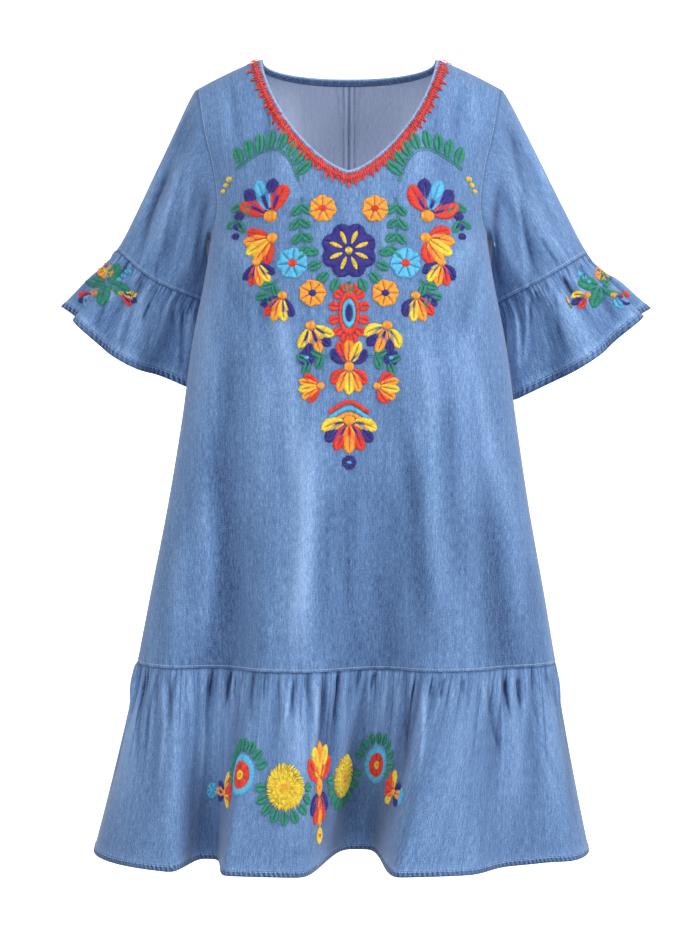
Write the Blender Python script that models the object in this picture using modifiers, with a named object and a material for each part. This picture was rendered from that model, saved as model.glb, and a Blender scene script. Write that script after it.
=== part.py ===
"""Peasant dress in washed denim, hollow and filled out as when it is worn.

It has a V-necked front, a back with a centre seam, set-in sleeves ending in gathered ruffles, a bound
neckline and a deep gathered hem ruffle. Every piece is a thin wall, and the pieces meet at their seams
with a small gap.

Metres, +Z up. The front faces -Y, so the wearer's right sleeve is at -X. The origin is midway between
the shoulders at the height of the two neck points, where the wearer holds the dress up.
"""

import math
from collections import namedtuple

import bmesh
import bpy
from mathutils import Vector

# Cloth and seams
CLOTH = 0.0012
BINDING = 0.0020
SEAM_GAP = 0.0003
JOIN_DISTANCE = 0.00001

# The body's level sections are superellipses with this exponent
ROUNDNESS = 2.4

# Heights below the neck points
HEM_SEAM_DROP = 0.718
HEM_DROP = 0.940
UNDERARM_DROP = 0.215

# Shoulders and neck
SHOULDER_HALF = 0.180
SHOULDER_FALL = 0.034
FALL_POWER = 1.2
SHOULDER_ROUND = 0.070
FALL_FADES_FROM = 0.040
FALL_FADES_TO = 0.200
NECK_HALF = 0.103
BINDING_WIDTH = 0.009

# The neckline: its drop at the opening, how much lower the binding's outer edge is, and the powers of its curve
Neckline = namedtuple("Neckline", "side drop band_drop across_power drop_power columns")
NECKLINES = (
    Neckline(-1, 0.149, 0.0105, 1.45, 1.60, 10),
    Neckline(1, 0.012, 0.0058, 2.20, 1.70, 8),
)
# Powers that crowd the neckline's columns at the neck point and spread them at the centre
NECK_CROWDING = 1.8
NECK_SPREADING = 1.45

# The armhole from the underarm to the shoulder tip, by its drop and its turn in degrees from the centre line
Armhole = namedtuple("Armhole", "drop turn")
ARMHOLE = (
    Armhole(0.2150, 90.0),
    Armhole(0.2090, 78.0),
    Armhole(0.1930, 70.5),
    Armhole(0.1700, 67.5),
    Armhole(0.1450, 66.0),
    Armhole(0.1190, 64.0),
    Armhole(0.0920, 61.0),
    Armhole(0.0660, 57.5),
    Armhole(0.0410, 54.5),
    Armhole(0.0190, 52.3),
    Armhole(0.0045, 51.2),
    Armhole(0.0000, 51.03),
)
LOWER_NECK_TURN = math.radians(50)

Section = namedtuple("Section", "drop half_width front back shift")
BODY = (
    Section(0.000, 0.222, 0.074, 0.072, 0.000),
    Section(0.060, 0.197, 0.084, 0.080, 0.000),
    Section(0.120, 0.174, 0.100, 0.088, 0.000),
    Section(0.190, 0.163, 0.113, 0.094, 0.000),
    Section(0.257, 0.171, 0.117, 0.094, 0.000),
    Section(0.341, 0.187, 0.116, 0.092, 0.000),
    Section(0.430, 0.199, 0.115, 0.094, 0.000),
    Section(0.538, 0.216, 0.116, 0.101, -0.001),
    Section(0.640, 0.235, 0.119, 0.109, -0.002),
    Section(0.718, 0.249, 0.122, 0.116, -0.003),
)

# Soft vertical folds of the body. Across and half width are shares of the section's half width, and depth and
# lean are what the fold has grown to at the hem seam, from nothing at its top
Fold = namedtuple("Fold", "side across half_width depth lean top")
FOLD_POWER = 2.4
FOLD_GROWS_TO = HEM_SEAM_DROP + 0.10
BODY_FOLDS = (
    Fold(-1, -0.60, 0.15, 0.034, 0.002, 0.330),
    Fold(-1, 0.13, 0.18, 0.034, 0.003, 0.300),
    Fold(-1, 0.78, 0.14, 0.016, 0.000, 0.360),
    Fold(1, -0.50, 0.16, 0.026, 0.000, 0.320),
    Fold(1, 0.05, 0.15, 0.022, 0.000, 0.380),
    Fold(1, 0.56, 0.17, 0.028, 0.000, 0.300),
)

# The hem's level outline and its deep flutes, as for the body but in metres across
Hem = namedtuple("Hem", "half_width front back shift roundness")
HEM = Hem(0.294, 0.160, 0.150, -0.009, 2.4)
Flute = namedtuple("Flute", "side across half_width depth lean")
FLUTE_POWER = 4
HEM_FLUTES = (
    Flute(-1, -0.160, 0.022, 0.082, 0.007),
    Flute(-1, 0.009, 0.037, 0.140, 0.010),
    Flute(-1, 0.212, 0.050, 0.034, 0.000),
    Flute(1, -0.165, 0.030, 0.074, -0.004),
    Flute(1, 0.010, 0.032, 0.070, 0.004),
    Flute(1, 0.170, 0.028, 0.080, 0.004),
)

# Gathers of the hem ruffle, on each of its front and back. Rows are shares of the way down from the seam, and the
# fine ones have a column for each step of a gather, the others for every second step
HEM_GATHERS = 36
HEM_GATHER_HEIGHT = 0.0019
COLUMNS_PER_GATHER = 3
HEM_ROWS = (0.0, 0.035, 0.12, 0.25, 0.45, 0.72, 1.0)
HEM_FINE_ROWS = 3
HEM_FLARE_FROM = 0.04
HEM_FLARE_POWER = 1.15

# How the gathers change down a ruffle, as shares of the way down
FINE_FULL, FINE_FADES, FINE_GONE = 0.10, 0.12, 0.42
WIDE_STARTS, WIDE_FULL, WIDE_FADES, WIDE_GONE = 0.08, 0.30, 0.40, 0.95
WIDE_HEIGHT = 1.5
WIDE_LENGTH = 3.0

# Sleeves: the ellipse of the cuff seam and of the ruffle's hem. Way is 1 at +X, x is away from the middle,
# and the front half of the ellipse bows down the sleeve by its bow
Ring = namedtuple("Ring", "way outer_x outer_z inner_x inner_z y half_depth bow")
CUFF_SEAMS = (
    Ring(-1, 0.2850, -0.219, 0.176, -0.284, 0.058, 0.051, 0.010),
    Ring(1, 0.2925, -0.223, 0.178, -0.287, 0.058, 0.051, 0.003),
)
CUFF_HEMS = (
    Ring(-1, 0.3490, -0.292, 0.197, -0.388, 0.070, 0.068, 0.017),
    Ring(1, 0.3680, -0.293, 0.199, -0.406, 0.070, 0.068, 0.012),
)
SLEEVE_ROWS = (0.09, 0.21, 0.35, 0.51, 0.67, 0.84, 1.0)
SLEEVE_LEAD_IN = 0.0028
# How strongly the sleeve's lines run on from the armhole, over the shoulder and under the arm, and into the cuff
SLEEVE_LEAVE_TOP = 0.026
SLEEVE_LEAVE_UNDER = 0.060
SLEEVE_TURN_OUT = 2.4
SLEEVE_ARRIVE = 0.75
BOW_POWER = 3
CUFF_GATHERS = 36
CUFF_GATHER_HEIGHT = 0.0014
CUFF_ROWS = (0.0, 0.07, 0.21, 0.45, 0.72, 1.0)
CUFF_FINE_ROWS = 3
CUFF_FLUTES = 7
CUFF_FLUTE_DEPTH = 0.0085
CUFF_FLUTE_PHASE = 0.6
CUFF_FLUTE_UNEVEN = 0.8
CUFF_FLARE_TO = 0.6
CUFF_FLARE_POWER = 1.1

# Columns and rows of the panels. Each front row above the underarm joins a point of the armhole to one of the neck
FRONT_COLUMNS = 15
FRONT_CENTRE_DROP = 0.192
SHOULDER_COLUMNS = 5
SKIRT_ROWS = 8
BEND_POWER = 1.5
OUTLINE_STEPS = 1200
SMALL_STEP = 0.0001

COLLECTION = "peasant_dress"
DENIM_COLOUR = (0.16, 0.29, 0.54, 1.0)
BINDING_COLOUR = (0.13, 0.25, 0.48, 1.0)
DENIM_ROUGHNESS = 0.85


def curve(start, leave, end, arrive, t):
    """A cubic from start to end with the slopes leave and arrive, at t from 0 to 1."""
    return (
        (2 * t**3 - 3 * t**2 + 1) * start
        + (t**3 - 2 * t**2 + t) * leave
        + (3 * t**2 - 2 * t**3) * end
        + (t**3 - t**2) * arrive
    )


def smooth(table, column, at):
    """The table's column read at a drop, on a cubic curve through its rows."""
    drops = [row.drop for row in table]
    values = [getattr(row, column) for row in table]
    at = min(max(at, drops[0]), drops[-1])
    last = len(drops) - 1
    i = max(k for k in range(last) if drops[k] <= at)
    span = drops[i + 1] - drops[i]

    def slope(k):
        before, after = max(k - 1, 0), min(k + 1, last)
        return (values[after] - values[before]) / (drops[after] - drops[before])

    return curve(values[i], span * slope(i), values[i + 1], span * slope(i + 1), (at - drops[i]) / span)


def fade(start, end, at):
    """0 before start, 1 after end, and a smooth rise between them."""
    t = min(max((at - start) / (end - start), 0.0), 1.0)
    return t * t * (3 - 2 * t)


def dip_shape(distance, power):
    """1 at distance 0, falling around distance 1. Power 2 is a soft dip, 4 a flat floor with steep walls."""
    return math.exp(-(abs(distance) ** power))


def signed_power(value, exponent):
    return math.copysign(abs(value) ** exponent, value)


def shoulder_fall(x, drop):
    """How far the sloping shoulder lowers a point, which fades out down the chest."""
    out = max(abs(x) - NECK_HALF, 0.0) / (SHOULDER_HALF - NECK_HALF)
    return SHOULDER_FALL * out**FALL_POWER * (1 - fade(FALL_FADES_FROM, FALL_FADES_TO, drop))


def torso(side, turn, drop, gap=SEAM_GAP):
    """A point of the body: side -1 is the front and 1 the back, turn runs from -90 to 90 degrees across."""
    across = signed_power(math.sin(turn), 2 / ROUNDNESS)
    deep = abs(math.cos(turn)) ** (2 / ROUNDNESS)
    half = smooth(BODY, "half_width", drop)
    rise = min(drop / SHOULDER_ROUND, 1.0)
    depth = smooth(BODY, "front" if side < 0 else "back", drop) * math.sqrt(1 - (1 - rise) ** 2)
    x = half * across
    for fold in BODY_FOLDS:
        if fold.side == side:
            grown = fade(fold.top, FOLD_GROWS_TO, drop) / fade(fold.top, FOLD_GROWS_TO, HEM_SEAM_DROP)
            dip = dip_shape((across - fold.across) / fold.half_width, FOLD_POWER) * grown
            depth -= fold.depth * dip
            x += fold.lean * dip
    z = -drop - shoulder_fall(x, drop)
    return Vector((x + smooth(BODY, "shift", drop), side * (deep * depth + gap / 2), z))


def neckline_of(side):
    return next(line for line in NECKLINES if line.side == side)


def turn_at(x, drop):
    """The turn at which a section of the body has this x."""
    share = min(abs(x) / smooth(BODY, "half_width", drop), 1.0)
    return math.asin(share ** (ROUNDNESS / 2))


def neck_turn_drop(side, column, band):
    """Turn and drop of a point of the neckline on the +X side. Column 0 is the neck point and the last the centre.

    band is 0 on the panel's edge and 1 at the opening.
    """
    line = neckline_of(side)
    fall = 1 - (1 - (column / line.columns) ** NECK_CROWDING) ** NECK_SPREADING
    drop = (line.drop + line.band_drop * (1 - band)) * fall
    share = (1 - fall**line.drop_power) ** (1 / line.across_power)
    return turn_at(share * (NECK_HALF + BINDING_WIDTH * (1 - band)), drop), drop


def mix(first, second, share):
    """A (turn, drop) pair between two others."""
    return tuple((1 - share) * a + share * b for a, b in zip(first, second))


def armhole_edge():
    """The armhole's (turn, drop) pairs on the +X side, from the underarm to the shoulder tip."""
    return [(math.radians(at.turn), at.drop) for at in ARMHOLE]


def front_half():
    """Rows of (turn, drop) for the +X half of the front, from the hem seam up, each from the side to the centre."""
    shares = [j / SKIRT_ROWS for j in range(SKIRT_ROWS + 1)]
    sides = [mix((math.pi / 2, HEM_SEAM_DROP), (math.pi / 2, UNDERARM_DROP), share) for share in shares[:-1]]
    centres = [mix((0.0, HEM_SEAM_DROP), (0.0, FRONT_CENTRE_DROP), share) for share in shares]
    sides += armhole_edge()
    centres += [neck_turn_drop(-1, column, 0) for column in range(neckline_of(-1).columns, -1, -1)]
    return [[mix(a, b, i / FRONT_COLUMNS) for i in range(FRONT_COLUMNS + 1)] for a, b in zip(sides, centres)]


def back_half():
    """Rows of (turn, drop) for the +X half of the back, from the hem seam up, each from the side to the centre."""
    neck_columns = neckline_of(1).columns
    columns = SHOULDER_COLUMNS + neck_columns
    tip, underarm = armhole_edge()[-1], armhole_edge()[0]
    neck_point = neck_turn_drop(1, 0, 0)
    lower_neck_point = (LOWER_NECK_TURN, UNDERARM_DROP)
    low = [mix(underarm, lower_neck_point, i / SHOULDER_COLUMNS) for i in range(SHOULDER_COLUMNS)]
    low += [mix(lower_neck_point, (0.0, UNDERARM_DROP), i / neck_columns) for i in range(neck_columns + 1)]
    top = [mix(tip, neck_point, i / SHOULDER_COLUMNS) for i in range(SHOULDER_COLUMNS)]
    top += [neck_turn_drop(1, column, 0) for column in range(neck_columns + 1)]
    rows = []
    for j in range(SKIRT_ROWS):
        drop = HEM_SEAM_DROP + (UNDERARM_DROP - HEM_SEAM_DROP) * j / SKIRT_ROWS
        rows.append([(turn, drop) for turn, _ in low])
    for edge in armhole_edge():
        share = 1 - edge[1] / UNDERARM_DROP
        plain = mix(underarm, tip, share)
        row = []
        for i, (a, b) in enumerate(zip(low, top)):
            turn, drop = mix(a, b, share)
            row.append((turn + (1 - i / columns) ** BEND_POWER * (edge[0] - plain[0]), drop))
        rows.append(row)
    return rows


def add_faces(mesh, rows, closed):
    """Faces between rows of points. A row with half as many spans as the one before is met by triangles."""
    made = [[mesh.verts.new(point) for point in row] for row in rows]
    for first, second in zip(made, made[1:]):
        spans = len(second) if closed else len(second) - 1
        halved = len(first) > len(second)
        for i in range(spans):
            low_a, low_b = second[i], second[(i + 1) % len(second)]
            if halved:
                a, b, c = first[2 * i], first[2 * i + 1], first[(2 * i + 2) % len(first)]
                for corners in ((a, low_a, b), (b, low_a, low_b), (b, low_b, c)):
                    mesh.faces.new(corners)
            else:
                mesh.faces.new((first[i], low_a, low_b, first[(i + 1) % len(first)]))


def cloth_piece(name, grids, material, closed=False, thickness=CLOTH):
    """An object whose wall lies evenly on both sides of the surface through the grids, joined where they touch."""
    data = bpy.data.meshes.new(name)
    surface = bmesh.new()
    for rows in grids:
        add_faces(surface, rows, closed)
    bmesh.ops.remove_doubles(surface, verts=surface.verts, dist=JOIN_DISTANCE)
    bmesh.ops.recalc_face_normals(surface, faces=surface.faces)
    surface.to_mesh(data)
    surface.free()
    data.shade_smooth()
    piece = bpy.data.objects.new(name, data)
    piece.data.materials.append(material)
    wall = piece.modifiers.new("wall", "SOLIDIFY")
    wall.thickness = thickness
    wall.offset = 0.0
    bpy.data.collections[COLLECTION].objects.link(piece)
    return piece


def front_panel(material):
    """The whole front, as two halves that join below the V."""
    halves = []
    for way in (-1, 1):
        rows = []
        for j, row in enumerate(front_half()):
            lift = Vector((0, 0, SEAM_GAP / 2 if j == 0 else 0))
            rows.append([torso(-1, way * turn, drop) + lift for turn, drop in row])
        halves.append(rows)
    return cloth_piece("front_panel", halves, material)


def back_panel(name, way, material):
    """One half of the back. way is 1 on the +X side and -1 on the -X side."""
    rows = []
    for j, row in enumerate(back_half()):
        lift = Vector((way * SEAM_GAP / 2, 0, SEAM_GAP / 2 if j == 0 else 0))
        rows.append([torso(1, way * turn, drop) + lift for turn, drop in row])
    return cloth_piece(name, [rows], material)


def neck_binding(material):
    """A closed band round the neck, between the panels' edge and the opening."""
    rows = []
    for band in (SEAM_GAP / BINDING_WIDTH, 0.5, 1.0):
        loop = []
        for side in (-1, 1):
            last = neckline_of(side).columns
            columns = [(side, k) for k in range(last)] + [(-side, k) for k in range(last, 0, -1)]
            for way, column in columns:
                turn, drop = neck_turn_drop(side, column, band)
                loop.append(torso(side, way * turn, drop, gap=0))
        rows.append(loop)
    return cloth_piece("neck_binding", [rows], material, closed=True, thickness=BINDING)


def armhole(way):
    """The armhole's points in order from the shoulder tip down the front and up the back.

    Each comes with the direction in which the panel's surface runs on past it, and its outward normal.
    """
    slope = math.atan2(SHOULDER_FALL * FALL_POWER, SHOULDER_HALF - NECK_HALF)
    edge = [(way * turn, drop) for turn, drop in armhole_edge()]
    on_past = Vector((way * math.cos(slope), 0, -math.sin(slope)))
    up = Vector((way * math.sin(slope), 0, math.cos(slope)))
    found = [(torso(1, *edge[-1], gap=0), on_past, up)]
    for side in (-1, 1):
        run = []
        for below, (turn, drop), above in zip(edge, edge[1:], edge[2:]):
            here = torso(side, turn, drop)
            tangent = torso(side, *above) - torso(side, *below)
            inward = torso(side, turn - way * SMALL_STEP, drop) - here
            downward = torso(side, turn, drop + SMALL_STEP) - here
            normal = inward.cross(downward).normalized()
            normal = normal if normal.y * side > 0 else -normal
            beyond = normal.cross(tangent).normalized()
            beyond = beyond if beyond.dot(inward) < 0 else -beyond
            run.append((here, beyond, normal))
        found += run[::-1] if side < 0 else run
        if side < 0:
            found.append((torso(1, *edge[0], gap=0), Vector((0, 0, 1)), Vector((way, 0, 0))))
    return found


def ring_point(ring, angle):
    """A point of a cuff ring and the way the sleeve runs there. Angle 0 is the outer end and 90 degrees the front."""
    outer = Vector((ring.way * ring.outer_x, ring.y, ring.outer_z))
    inner = Vector((ring.way * ring.inner_x, ring.y, ring.inner_z))
    half = (outer - inner) / 2
    axis = Vector((ring.way * half.z, 0, -abs(half.x))).normalized()
    point = (outer + inner) / 2 + half * math.cos(angle) - Vector((0, ring.half_depth * math.sin(angle), 0))
    return point + axis * ring.bow * max(math.sin(angle), 0.0) ** BOW_POWER, axis


def sleeve(name, way, material):
    """The set-in sleeve, from the armhole to the cuff seam."""
    ring = next(ring for ring in CUFF_SEAMS if ring.way == way)
    hole = armhole(way)
    lengths = [0.0]
    for (a, _, _), (b, _, _) in zip(hole, hole[1:] + hole[:1]):
        lengths.append(lengths[-1] + (b - a).length)
    foot = len(hole) // 2
    columns = []
    for k, (point, beyond, normal) in enumerate(hole):
        if k <= foot:
            angle = math.pi * lengths[k] / lengths[foot]
        else:
            angle = math.pi * (1 + (lengths[k] - lengths[foot]) / (lengths[-1] - lengths[foot]))
        end, axis = ring_point(ring, angle)
        end -= axis * SEAM_GAP / 2
        start = point + beyond * SEAM_GAP
        lead = start + beyond * SLEEVE_LEAD_IN
        reach = (end - lead).length
        under = (1 - math.cos(angle)) / 2
        strength = SLEEVE_LEAVE_TOP + (SLEEVE_LEAVE_UNDER - SLEEVE_LEAVE_TOP) * under
        leave = (beyond + normal * SLEEVE_TURN_OUT * under).normalized() * strength
        arrive = axis * SLEEVE_ARRIVE * reach
        land = end - axis * SLEEVE_LEAD_IN
        columns.append([start, lead] + [curve(lead, leave, land, arrive, t) for t in SLEEVE_ROWS] + [end])
    rows = [list(row) for row in zip(*columns)]
    return cloth_piece(name, [rows], material, closed=True)


def gathers(phase, share):
    """Small gathers that die out downwards while wider ones take over. phase counts them, share is 0 at the seam."""
    fine = fade(-FINE_FULL / 2, FINE_FULL, share) * (1 - fade(FINE_FADES, FINE_GONE, share))
    wide = fade(WIDE_STARTS, WIDE_FULL, share) * (1 - fade(WIDE_FADES, WIDE_GONE, share))
    uneven = 1 + 0.35 * math.sin(phase * 0.9) + 0.25 * math.sin(phase * 0.37 + 1)
    wide_wave = math.cos(2 * math.pi * phase / WIDE_LENGTH + math.sin(phase))
    return uneven * (fine * math.cos(2 * math.pi * phase) + WIDE_HEIGHT * wide * wide_wave)


def sleeve_ruffle(name, way, material):
    """The gathered flounce below the cuff seam."""
    seam = next(ring for ring in CUFF_SEAMS if ring.way == way)
    hem = next(ring for ring in CUFF_HEMS if ring.way == way)
    columns = CUFF_GATHERS * COLUMNS_PER_GATHER
    rows = []
    for j, share in enumerate(CUFF_ROWS):
        row = []
        for k in range(0, columns, 1 if j < CUFF_FINE_ROWS else 2):
            angle = 2 * math.pi * k / columns
            upper, axis = ring_point(seam, angle)
            lower = ring_point(hem, angle)[0]
            out = lower - ring_point(hem, angle + math.pi)[0]
            out = (out - axis * out.dot(axis)).normalized()
            down = axis * max(share * (lower - upper).length, SEAM_GAP / 2)
            flared = upper.lerp(lower, share**CUFF_FLARE_POWER)
            point = (upper + down).lerp(flared, fade(0.0, CUFF_FLARE_TO, share))
            flute = CUFF_FLUTES * angle + way * CUFF_FLUTE_PHASE + CUFF_FLUTE_UNEVEN * math.sin(angle)
            wave = CUFF_FLUTE_DEPTH * share * math.cos(flute)
            wave += CUFF_GATHER_HEIGHT * gathers(k / COLUMNS_PER_GATHER, share)
            row.append(point + out * wave)
        rows.append(row)
    return cloth_piece(name, [rows], material, closed=True)


def hem_outline(side, spans):
    """Points of the hem's level outline from -X to +X, at even distances along it."""
    depth = HEM.front if side < 0 else HEM.back
    dense = []
    for k in range(OUTLINE_STEPS + 1):
        turn = math.pi * (k / OUTLINE_STEPS - 0.5)
        across = signed_power(math.sin(turn), 2 / HEM.roundness)
        deep = abs(math.cos(turn)) ** (2 / HEM.roundness)
        x, y = HEM.half_width * across, depth
        for flute in HEM_FLUTES:
            if flute.side == side:
                dip = dip_shape((HEM.half_width * across - flute.across) / flute.half_width, FLUTE_POWER)
                y -= flute.depth * dip
                x += flute.lean * dip
        dense.append(Vector((x + HEM.shift, side * (deep * y + SEAM_GAP / 2), 0)))
    return evenly(dense, spans)


def evenly(points, spans):
    """The same line with its points at even distances."""
    along = [0.0]
    for a, b in zip(points, points[1:]):
        along.append(along[-1] + (b - a).length)
    found, i = [], 0
    for k in range(spans + 1):
        want = along[-1] * k / spans
        while i < len(points) - 2 and along[i + 1] < want:
            i += 1
        found.append(points[i].lerp(points[i + 1], (want - along[i]) / (along[i + 1] - along[i])))
    return found


def hem_ruffle(name, side, material):
    """One half of the deep gathered ruffle, from side seam to side seam."""
    spans = HEM_GATHERS * COLUMNS_PER_GATHER
    turns = [math.pi * (k / OUTLINE_STEPS - 0.5) for k in range(OUTLINE_STEPS + 1)]
    seam = [torso(side, turn, HEM_SEAM_DROP) for turn in turns]
    upper = [Vector((p.x, p.y, 0)) for p in evenly(seam, spans)]
    lower = hem_outline(side, spans)
    rows = []
    for j, share in enumerate(HEM_ROWS):
        flare = share**HEM_FLARE_POWER if share > HEM_FLARE_FROM else 0.0
        line = [a.lerp(b, flare) for a, b in zip(upper, lower)]
        level = -HEM_SEAM_DROP - share * (HEM_DROP - HEM_SEAM_DROP) - (SEAM_GAP / 2 if j == 0 else 0)
        row = []
        for k in range(0, spans + 1, 1 if j < HEM_FINE_ROWS else 2):
            before, after = line[max(k - 1, 0)], line[min(k + 1, spans)]
            along = (after - before).normalized()
            out = Vector((along.y, -along.x, 0)) * -side
            at_ends = fade(0, COLUMNS_PER_GATHER, k) * fade(0, COLUMNS_PER_GATHER, spans - k)
            wave = HEM_GATHER_HEIGHT * gathers(k / COLUMNS_PER_GATHER, share) * at_ends
            row.append(line[k] + out * wave + Vector((0, 0, level)))
        rows.append(row)
    return cloth_piece(name, [rows], material)


def new_material(name, colour):
    material = bpy.data.materials.new(name)
    material.use_nodes = True
    shader = material.node_tree.nodes["Principled BSDF"]
    shader.inputs["Base Color"].default_value = colour
    shader.inputs["Roughness"].default_value = DENIM_ROUGHNESS
    shader.inputs["Metallic"].default_value = 0.0
    return material


def main():
    for leftover in list(bpy.data.objects):
        bpy.data.objects.remove(leftover)
    bpy.context.scene.collection.children.link(bpy.data.collections.new(COLLECTION))
    denim = new_material("denim", DENIM_COLOUR)
    bound = new_material("denim_binding", BINDING_COLOUR)
    front_panel(denim)
    back_panel("back_panel_left", 1, denim)
    back_panel("back_panel_right", -1, denim)
    neck_binding(bound)
    for word, way in (("left", 1), ("right", -1)):
        sleeve(f"sleeve_{word}", way, denim)
        sleeve_ruffle(f"sleeve_ruffle_{word}", way, denim)
    hem_ruffle("hem_ruffle_front", -1, denim)
    hem_ruffle("hem_ruffle_back", 1, denim)


main()
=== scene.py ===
"""Peasant dress in washed denim with thread embroidery, worn shape with no wearer.

Metres, +Z up. The front faces -Y, so the wearer's right sleeve is at -X. The cloth repeats the sizes of the
part's source and adds its creases, gathers, turned hems, stitching and embroidery.
"""

import math
from collections import namedtuple

import bmesh
import bpy
import numpy as np
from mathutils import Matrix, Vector
from mathutils.bvhtree import BVHTree


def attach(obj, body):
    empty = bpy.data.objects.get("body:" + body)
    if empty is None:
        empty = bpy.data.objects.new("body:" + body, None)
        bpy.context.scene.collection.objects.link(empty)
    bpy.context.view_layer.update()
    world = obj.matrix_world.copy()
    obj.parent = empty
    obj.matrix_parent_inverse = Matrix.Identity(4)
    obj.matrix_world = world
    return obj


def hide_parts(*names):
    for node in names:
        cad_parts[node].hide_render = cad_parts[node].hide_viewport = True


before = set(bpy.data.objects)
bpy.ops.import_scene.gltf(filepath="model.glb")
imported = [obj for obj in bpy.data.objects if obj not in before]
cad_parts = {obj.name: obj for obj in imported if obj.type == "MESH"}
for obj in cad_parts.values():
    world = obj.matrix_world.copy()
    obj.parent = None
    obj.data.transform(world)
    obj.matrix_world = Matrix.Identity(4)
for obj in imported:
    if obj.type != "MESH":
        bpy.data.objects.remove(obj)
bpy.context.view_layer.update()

# Cloth and seams
CLOTH = 0.0011
BINDING = 0.0016
SEAM_GAP = 0.0003
ROUNDNESS = 2.4
HEM_SEAM_DROP = 0.718
HEM_DROP = 0.940
UNDERARM_DROP = 0.215
SHOULDER_HALF = 0.180
SHOULDER_FALL = 0.034
FALL_POWER = 1.2
SHOULDER_ROUND = 0.070
FALL_FADES_FROM = 0.040
FALL_FADES_TO = 0.200
NECK_HALF = 0.103
BINDING_WIDTH = 0.009

Neckline = namedtuple("Neckline", "side drop band_drop across_power drop_power columns")
NECKLINES = {
    -1: Neckline(-1, 0.149, 0.0105, 1.45, 1.60, 10),
    1: Neckline(1, 0.012, 0.0058, 2.20, 1.70, 8),
}
NECK_CROWDING = 1.8
NECK_SPREADING = 1.45

# The armhole from the underarm to the shoulder tip, by its drop and its turn in degrees
ARMHOLE = np.array((
    (0.2150, 90.0),
    (0.2090, 78.0),
    (0.1930, 70.5),
    (0.1700, 67.5),
    (0.1450, 66.0),
    (0.1190, 64.0),
    (0.0920, 61.0),
    (0.0660, 57.5),
    (0.0410, 54.5),
    (0.0190, 52.3),
    (0.0045, 51.2),
    (0.0000, 51.03),
))
LOWER_NECK_TURN = math.radians(50)

# The body's level sections: drop, half width, front, back, shift
BODY = np.array((
    (0.000, 0.222, 0.074, 0.072, 0.000),
    (0.060, 0.197, 0.084, 0.080, 0.000),
    (0.120, 0.174, 0.100, 0.088, 0.000),
    (0.190, 0.163, 0.113, 0.094, 0.000),
    (0.257, 0.171, 0.117, 0.094, 0.000),
    (0.341, 0.187, 0.116, 0.092, 0.000),
    (0.430, 0.199, 0.115, 0.094, 0.000),
    (0.538, 0.216, 0.116, 0.101, -0.001),
    (0.640, 0.235, 0.119, 0.109, -0.002),
    (0.718, 0.249, 0.122, 0.116, -0.003),
))
HALF_WIDTH, FRONT, BACK, SHIFT = 1, 2, 3, 4

Fold = namedtuple("Fold", "side across half_width depth lean top")
FOLD_POWER = 2.4
FOLD_GROWS_TO = HEM_SEAM_DROP + 0.10
BODY_FOLDS = (
    Fold(-1, -0.60, 0.15, 0.034, 0.002, 0.330),
    Fold(-1, 0.13, 0.18, 0.034, 0.003, 0.300),
    Fold(-1, 0.78, 0.14, 0.016, 0.000, 0.360),
    Fold(1, -0.50, 0.16, 0.026, 0.000, 0.320),
    Fold(1, 0.05, 0.15, 0.022, 0.000, 0.380),
    Fold(1, 0.56, 0.17, 0.028, 0.000, 0.300),
)

Hem = namedtuple("Hem", "half_width front back shift roundness")
HEM = Hem(0.294, 0.160, 0.150, -0.009, 2.4)
Flute = namedtuple("Flute", "side across half_width depth lean")
FLUTE_POWER = 4
HEM_FLUTES = (
    Flute(-1, -0.160, 0.022, 0.082, 0.007),
    Flute(-1, 0.009, 0.037, 0.140, 0.010),
    Flute(-1, 0.212, 0.050, 0.034, 0.000),
    Flute(1, -0.165, 0.030, 0.074, -0.004),
    Flute(1, 0.010, 0.032, 0.070, 0.004),
    Flute(1, 0.170, 0.028, 0.080, 0.004),
)
HEM_GATHERS = 36
HEM_GATHER_HEIGHT = 0.0019
HEM_FLARE_POWER = 1.15
FINE_FULL, FINE_FADES, FINE_GONE = 0.10, 0.12, 0.42
WIDE_STARTS, WIDE_FULL, WIDE_FADES, WIDE_GONE = 0.08, 0.30, 0.40, 0.95
WIDE_HEIGHT = 1.5
WIDE_LENGTH = 3.0

Ring = namedtuple("Ring", "outer_x outer_z inner_x inner_z y half_depth bow")
CUFF_SEAMS = {
    -1: Ring(0.2850, -0.219, 0.176, -0.284, 0.058, 0.051, 0.010),
    1: Ring(0.2925, -0.223, 0.178, -0.287, 0.058, 0.051, 0.003),
}
CUFF_HEMS = {
    -1: Ring(0.3490, -0.292, 0.197, -0.388, 0.070, 0.068, 0.017),
    1: Ring(0.3680, -0.293, 0.199, -0.406, 0.070, 0.068, 0.012),
}
SLEEVE_LEAD_IN = 0.0028
SLEEVE_LEAVE_TOP = 0.026
SLEEVE_LEAVE_UNDER = 0.060
SLEEVE_TURN_OUT = 2.4
SLEEVE_ARRIVE = 0.75
BOW_POWER = 3
CUFF_GATHERS = 36
CUFF_GATHER_HEIGHT = 0.0014
CUFF_FLUTES = 7
CUFF_FLUTE_DEPTH = 0.0085
CUFF_FLUTE_PHASE = 0.6
CUFF_FLUTE_UNEVEN = 0.8
CUFF_FLARE_TO = 0.6
CUFF_FLARE_POWER = 1.1
FRONT_CENTRE_DROP = 0.192
SHOULDER_COLUMNS = 5
BEND_POWER = 1.5
SMALL_STEP = 0.0001
WELD = 0.00001

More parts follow.
